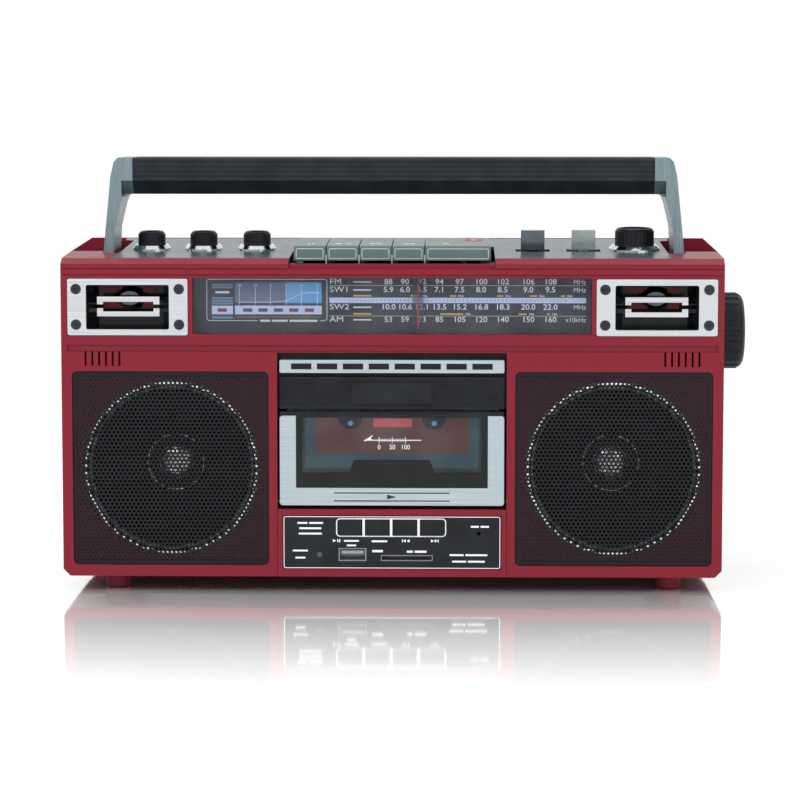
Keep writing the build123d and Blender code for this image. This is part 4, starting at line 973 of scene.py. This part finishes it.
# The play and pause sign: its wedge, from upright side to point, and its two bars.
PLAY_WEDGE = (-29.6, -28.0)
PAUSE_X = (-27.2, -26.2)
PAUSE_HALF = 0.25
# Skip signs: middle, and -1 or 1 for the way they point.
SKIP_SIGNS = ((7.2, -1), (21.4, 1))
# Places of a skip sign's two points and its bar, from its middle the way it points.
SKIP_POINTS = (-0.25, 1.65)
SKIP_WEDGE_LONG = 1.5
SKIP_BAR = 1.9
SKIP_BAR_HALF = 0.2
STATUS_LAMP_X = (-37.6, -35.0)
STATUS_LAMP_Z = (17.9, 20.5)


def add_wedge(build, base, tip, y):
    """Triangle of a transport sign, from its upright side at base to its point at tip."""
    points = [(base, SYMBOL_Z - SYMBOL_HALF), (tip, SYMBOL_Z), (base, SYMBOL_Z + SYMBOL_HALF)]
    add_outline(build, points if tip > base else points[::-1], y, PRINT_THICK)


def add_upright(build, x, half, y):
    """Upright bar of a transport sign."""
    add_slab(build, (x - half, x + half), (SYMBOL_Z - SYMBOL_HALF, SYMBOL_Z + SYMBOL_HALF), y, PRINT_THICK)


def panel_print():
    """Outlines, plain bars and signs of the lower panel, and the dividers of its buttons."""
    (x0, x1), (y0, _), (z0, z1) = node_span("lower_panel")
    y = y0 - PRINT_THICK
    build = bmesh.new()
    add_frame(build, (x0 + PANEL_MARGIN, x1 - PANEL_MARGIN), (z0 + PANEL_MARGIN, z1 - PANEL_MARGIN),
              PANEL_CORNER, PANEL_LINE, y, PRINT_THICK)
    add_frame(build, BUTTON_ROW_X, BUTTON_ROW_Z, BUTTON_ROW_CORNER, BUTTON_ROW_LINE, y, PRINT_THICK)
    for x, z, height, lengths in PANEL_BARS:
        add_bars(build, lengths, x, z, height * BAR_WEIGHT, y)
    for step in (-1, 0, 1):
        x = sum(BUTTON_ROW_X) / 2 + step * BUTTON_PITCH
        add_slab(build, (x - DIVIDER_HALF, x + DIVIDER_HALF), DIVIDER_Z, y - 0.3, 0.5)
    add_wedge(build, *PLAY_WEDGE, y)
    for x in PAUSE_X:
        add_upright(build, x, PAUSE_HALF, y)
    for middle, way in SKIP_SIGNS:
        for point in SKIP_POINTS:
            tip = middle + way * point
            add_wedge(build, tip - way * SKIP_WEDGE_LONG, tip, y)
        add_upright(build, middle + way * SKIP_BAR, SKIP_BAR_HALF, y)
    piece_from("panel_print", build, "case", ["white"])


def status_lamp():
    """Small round lamp at the panel's lower left."""
    y0 = node_span("lower_panel")[1][0]
    build = bmesh.new()
    add_outline(build, rounded_loop(STATUS_LAMP_X, STATUS_LAMP_Z, 1.25), y0 - 0.3, 0.6)
    piece_from("status_lamp", build, "case", ["lamp_green"])


# ---------------------------------------------------------------- cone domes

DOME_RADIUS = 9.9
DOME_FRONT = 24.7
DOME_BACK = 29.5
DOME_STEPS = 10
RING_RADII = (13.9, 14.6)
# Front and back of the ring, behind the dome's front.
RING_DEPTHS = (1.2, 2.4)


def add_turned(build, centre, profile):
    """Closed profile of (radius, y) turned about a front-to-back axis through centre (x, z)."""
    rings = []
    for radius, y in profile:
        if radius == 0:
            rings.append([build.verts.new(at(centre[0], y, centre[1]))])
            continue
        ring = []
        for step in range(TURN_STEPS):
            angle = 2 * math.pi * step / TURN_STEPS
            ring.append(build.verts.new(at(centre[0] + radius * math.cos(angle), y,
                                           centre[1] + radius * math.sin(angle))))
        rings.append(ring)
    for here, there in zip(rings, rings[1:] + rings[:1]):
        if len(here) == 1 and len(there) == 1:
            continue
        for step in range(TURN_STEPS):
            after = (step + 1) % TURN_STEPS
            corners = [here[step % len(here)], here[after % len(here)],
                       there[after % len(there)], there[step % len(there)]]
            # A ring of one vertex gives the same corner twice, and the face is a triangle.
            build.faces.new(list(dict.fromkeys(corners))).smooth = True


def cone_domes():
    """Bright domes and rings at the middle of the two woofer cones, moving with them."""
    turns = [math.radians(90 * step / DOME_STEPS) for step in range(1, DOME_STEPS + 1)]
    arc = [(DOME_RADIUS * math.sin(turn), DOME_BACK - (DOME_BACK - DOME_FRONT) * math.cos(turn))
           for turn in turns]
    dome = [(0, DOME_FRONT), *arc, (0, DOME_BACK)]
    inner, outer = RING_RADII
    front, back = [DOME_FRONT + depth for depth in RING_DEPTHS]
    ring = [(inner, front), (outer, front), (outer, back), (inner, back)]
    for side in ("left", "right"):
        (x0, x1), _, (z0, z1) = node_span("woofer_cone_" + side)
        centre = ((x0 + x1) / 2, (z0 + z1) / 2)
        build = bmesh.new()
        add_turned(build, centre, dome)
        add_turned(build, centre, ring)
        piece_from("cone_dome_" + side, build, "cone_" + side, ["chrome"])


# ---------------------------------------------------------------- tweeters

REFLECTION_PLATE_Y = 15.5
REFLECTION_PLATE_THICK = 0.8
# Sides from the frame's middle and levels above its foot, where plates show red between the bars as a
# painted reflection.
REFLECTION_PLATE_X = ((-14.0, -4.0), (6.0, 12.0))
REFLECTION_PLATE_Z = ((12.3, 15.4), (20.4, 23.0))


def tweeter_painted_reflections():
    """Red plates between the bars of the two tweeter windows: a painted reflection, standing in for the
    red reflections seen there.
    """
    for side in ("left", "right"):
        (x0, x1), _, (z0, _) = node_span("tweeter_frame_" + side)
        middle = (x0 + x1) / 2
        build = bmesh.new()
        for low, high in REFLECTION_PLATE_X:
            for foot, top in REFLECTION_PLATE_Z:
                add_slab(build, (middle + low, middle + high), (z0 + foot, z0 + top),
                         REFLECTION_PLATE_Y, REFLECTION_PLATE_THICK)
        piece_from("tweeter_painted_reflection_" + side, build, "case", ["painted_red_reflection"])


# ---------------------------------------------------------------- tape keys

GUIDE_X = (-33.15, -16.65, -0.15, 16.35)
GUIDE_HALF = 0.18
GUIDE_Y = 9.6
GUIDE_DEEP = 1.5
GUIDE_Z = (163.6, 169.5)
# A key's top starts at this height and depth, and rises by KEY_RISE for each millimetre back.
KEY_TOP = 174.0
KEY_FRONT_Y = 10.0
KEY_RISE = 0.028
MARK_Y = 24.0
MARK_SINK = 0.1
MARK_LIFT = 0.08
RECORD_MARK_IN = 6.0
KEY_PANEL_IN = 1.1
KEY_PANEL_Z = (167.5, 172.7)
KEY_LINE = 0.3
# Outlines of the tape symbols about their own middles.
BAR = ((-0.5, -1.8), (0.5, -1.8), (0.5, 1.8), (-0.5, 1.8))
ARROW = ((-1.3, -1.8), (1.7, 0.0), (-1.3, 1.8))
BLOCK = ((-1.5, -1.5), (1.5, -1.5), (1.5, 1.5), (-1.5, 1.5))
EJECT = ((-1.7, -0.6), (1.7, -0.6), (0.0, 1.8))
DISC = tuple((1.6 * math.cos(math.radians(turn)), 1.6 * math.sin(math.radians(turn)))
             for turn in range(0, 360, 15))
# Each key's symbols: shape, offset sideways, and 1 or -1 to point it right or left.
KEY_SYMBOLS = {
    "pause": ((BAR, -1.1, 1), (BAR, 1.1, 1)),
    "stop_eject": ((BLOCK, -2.6, 1), (EJECT, 2.6, 1)),
    "forward": ((ARROW, -1.6, 1), (ARROW, 1.6, 1)),
    "rewind": ((ARROW, -1.6, -1), (ARROW, 1.6, -1)),
    "play": ((ARROW, -6.0, 1),),
    "record": ((DISC, 0.0, 1),),
}
BEVELLED = (
    *("key_" + key for key in KEY_SYMBOLS),
    *(f"push_button_{number}" for number in (1, 2, 3, 4)),
    "handle_grip",
)
BEVEL_WIDTH = 0.6
# Edges sharper than this many degrees are bevelled.
BEVEL_FROM = 40


def key_guides():
    """Thin bright webs standing between the tape keys."""
    build = bmesh.new()
    for x in GUIDE_X:
        add_slab(build, (x - GUIDE_HALF, x + GUIDE_HALF), GUIDE_Z, GUIDE_Y, GUIDE_DEEP)
    piece_from("key_guides", build, "case", ["silver"])


def add_on_key(build, points):
    """Thin plate of the given (x, y) outline on the sloping top of a tape key."""
    layers = []
    for lift in (-MARK_SINK, MARK_LIFT):
        layers.append([build.verts.new(at(x, y, KEY_TOP + (y - KEY_FRONT_Y) * KEY_RISE + lift))
                       for x, y in points])
    low, high = layers
    build.faces.new(high)
    build.faces.new(low[::-1])
    for here in range(len(points)):
        after = (here + 1) % len(points)
        build.faces.new([low[here], low[after], high[after], high[here]])


def key_marks():
    """Universal tape symbols on the key tops and a raised outline on each key's front."""
    for key, symbols in KEY_SYMBOLS.items():
        (x0, x1), (y0, _), _ = node_span("key_" + key)
        middle = (x0 + x1) / 2
        build = bmesh.new()
        mark_y = MARK_Y if key != "record" else y0 + RECORD_MARK_IN
        for shape, offset, way in symbols:
            add_on_key(build, [(middle + offset + x * way, mark_y + y) for x, y in shape])
        if key != "record":
            add_frame(build, (x0 + KEY_PANEL_IN, x1 - KEY_PANEL_IN), KEY_PANEL_Z, 0.8, KEY_LINE,
                      y0 - 0.1, 0.14, 1)
        piece_from("key_marks_" + key, build, key, ["white", "silver"])


def soften_edges():
    """Small bevels on the keys, buttons and grip, so their edges catch the light."""
    for node in BEVELLED:
        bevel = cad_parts[node].modifiers.new("soft_edge", "BEVEL")
        bevel.width = BEVEL_WIDTH * MM
        bevel.segments = 2
        bevel.limit_method = "ANGLE"
        bevel.angle_limit = math.radians(BEVEL_FROM)


# ---------------------------------------------------------------- building the scene


make_camera()
make_light()
make_floor()
dress_nodes()
make_grilles()
dial_print()
pointer()
door_stripe()
tape_ruler()
behind_window()
lamp_windows()
panel_print()
status_lamp()
cone_domes()
tweeter_painted_reflections()
key_guides()
key_marks()
soften_edges()
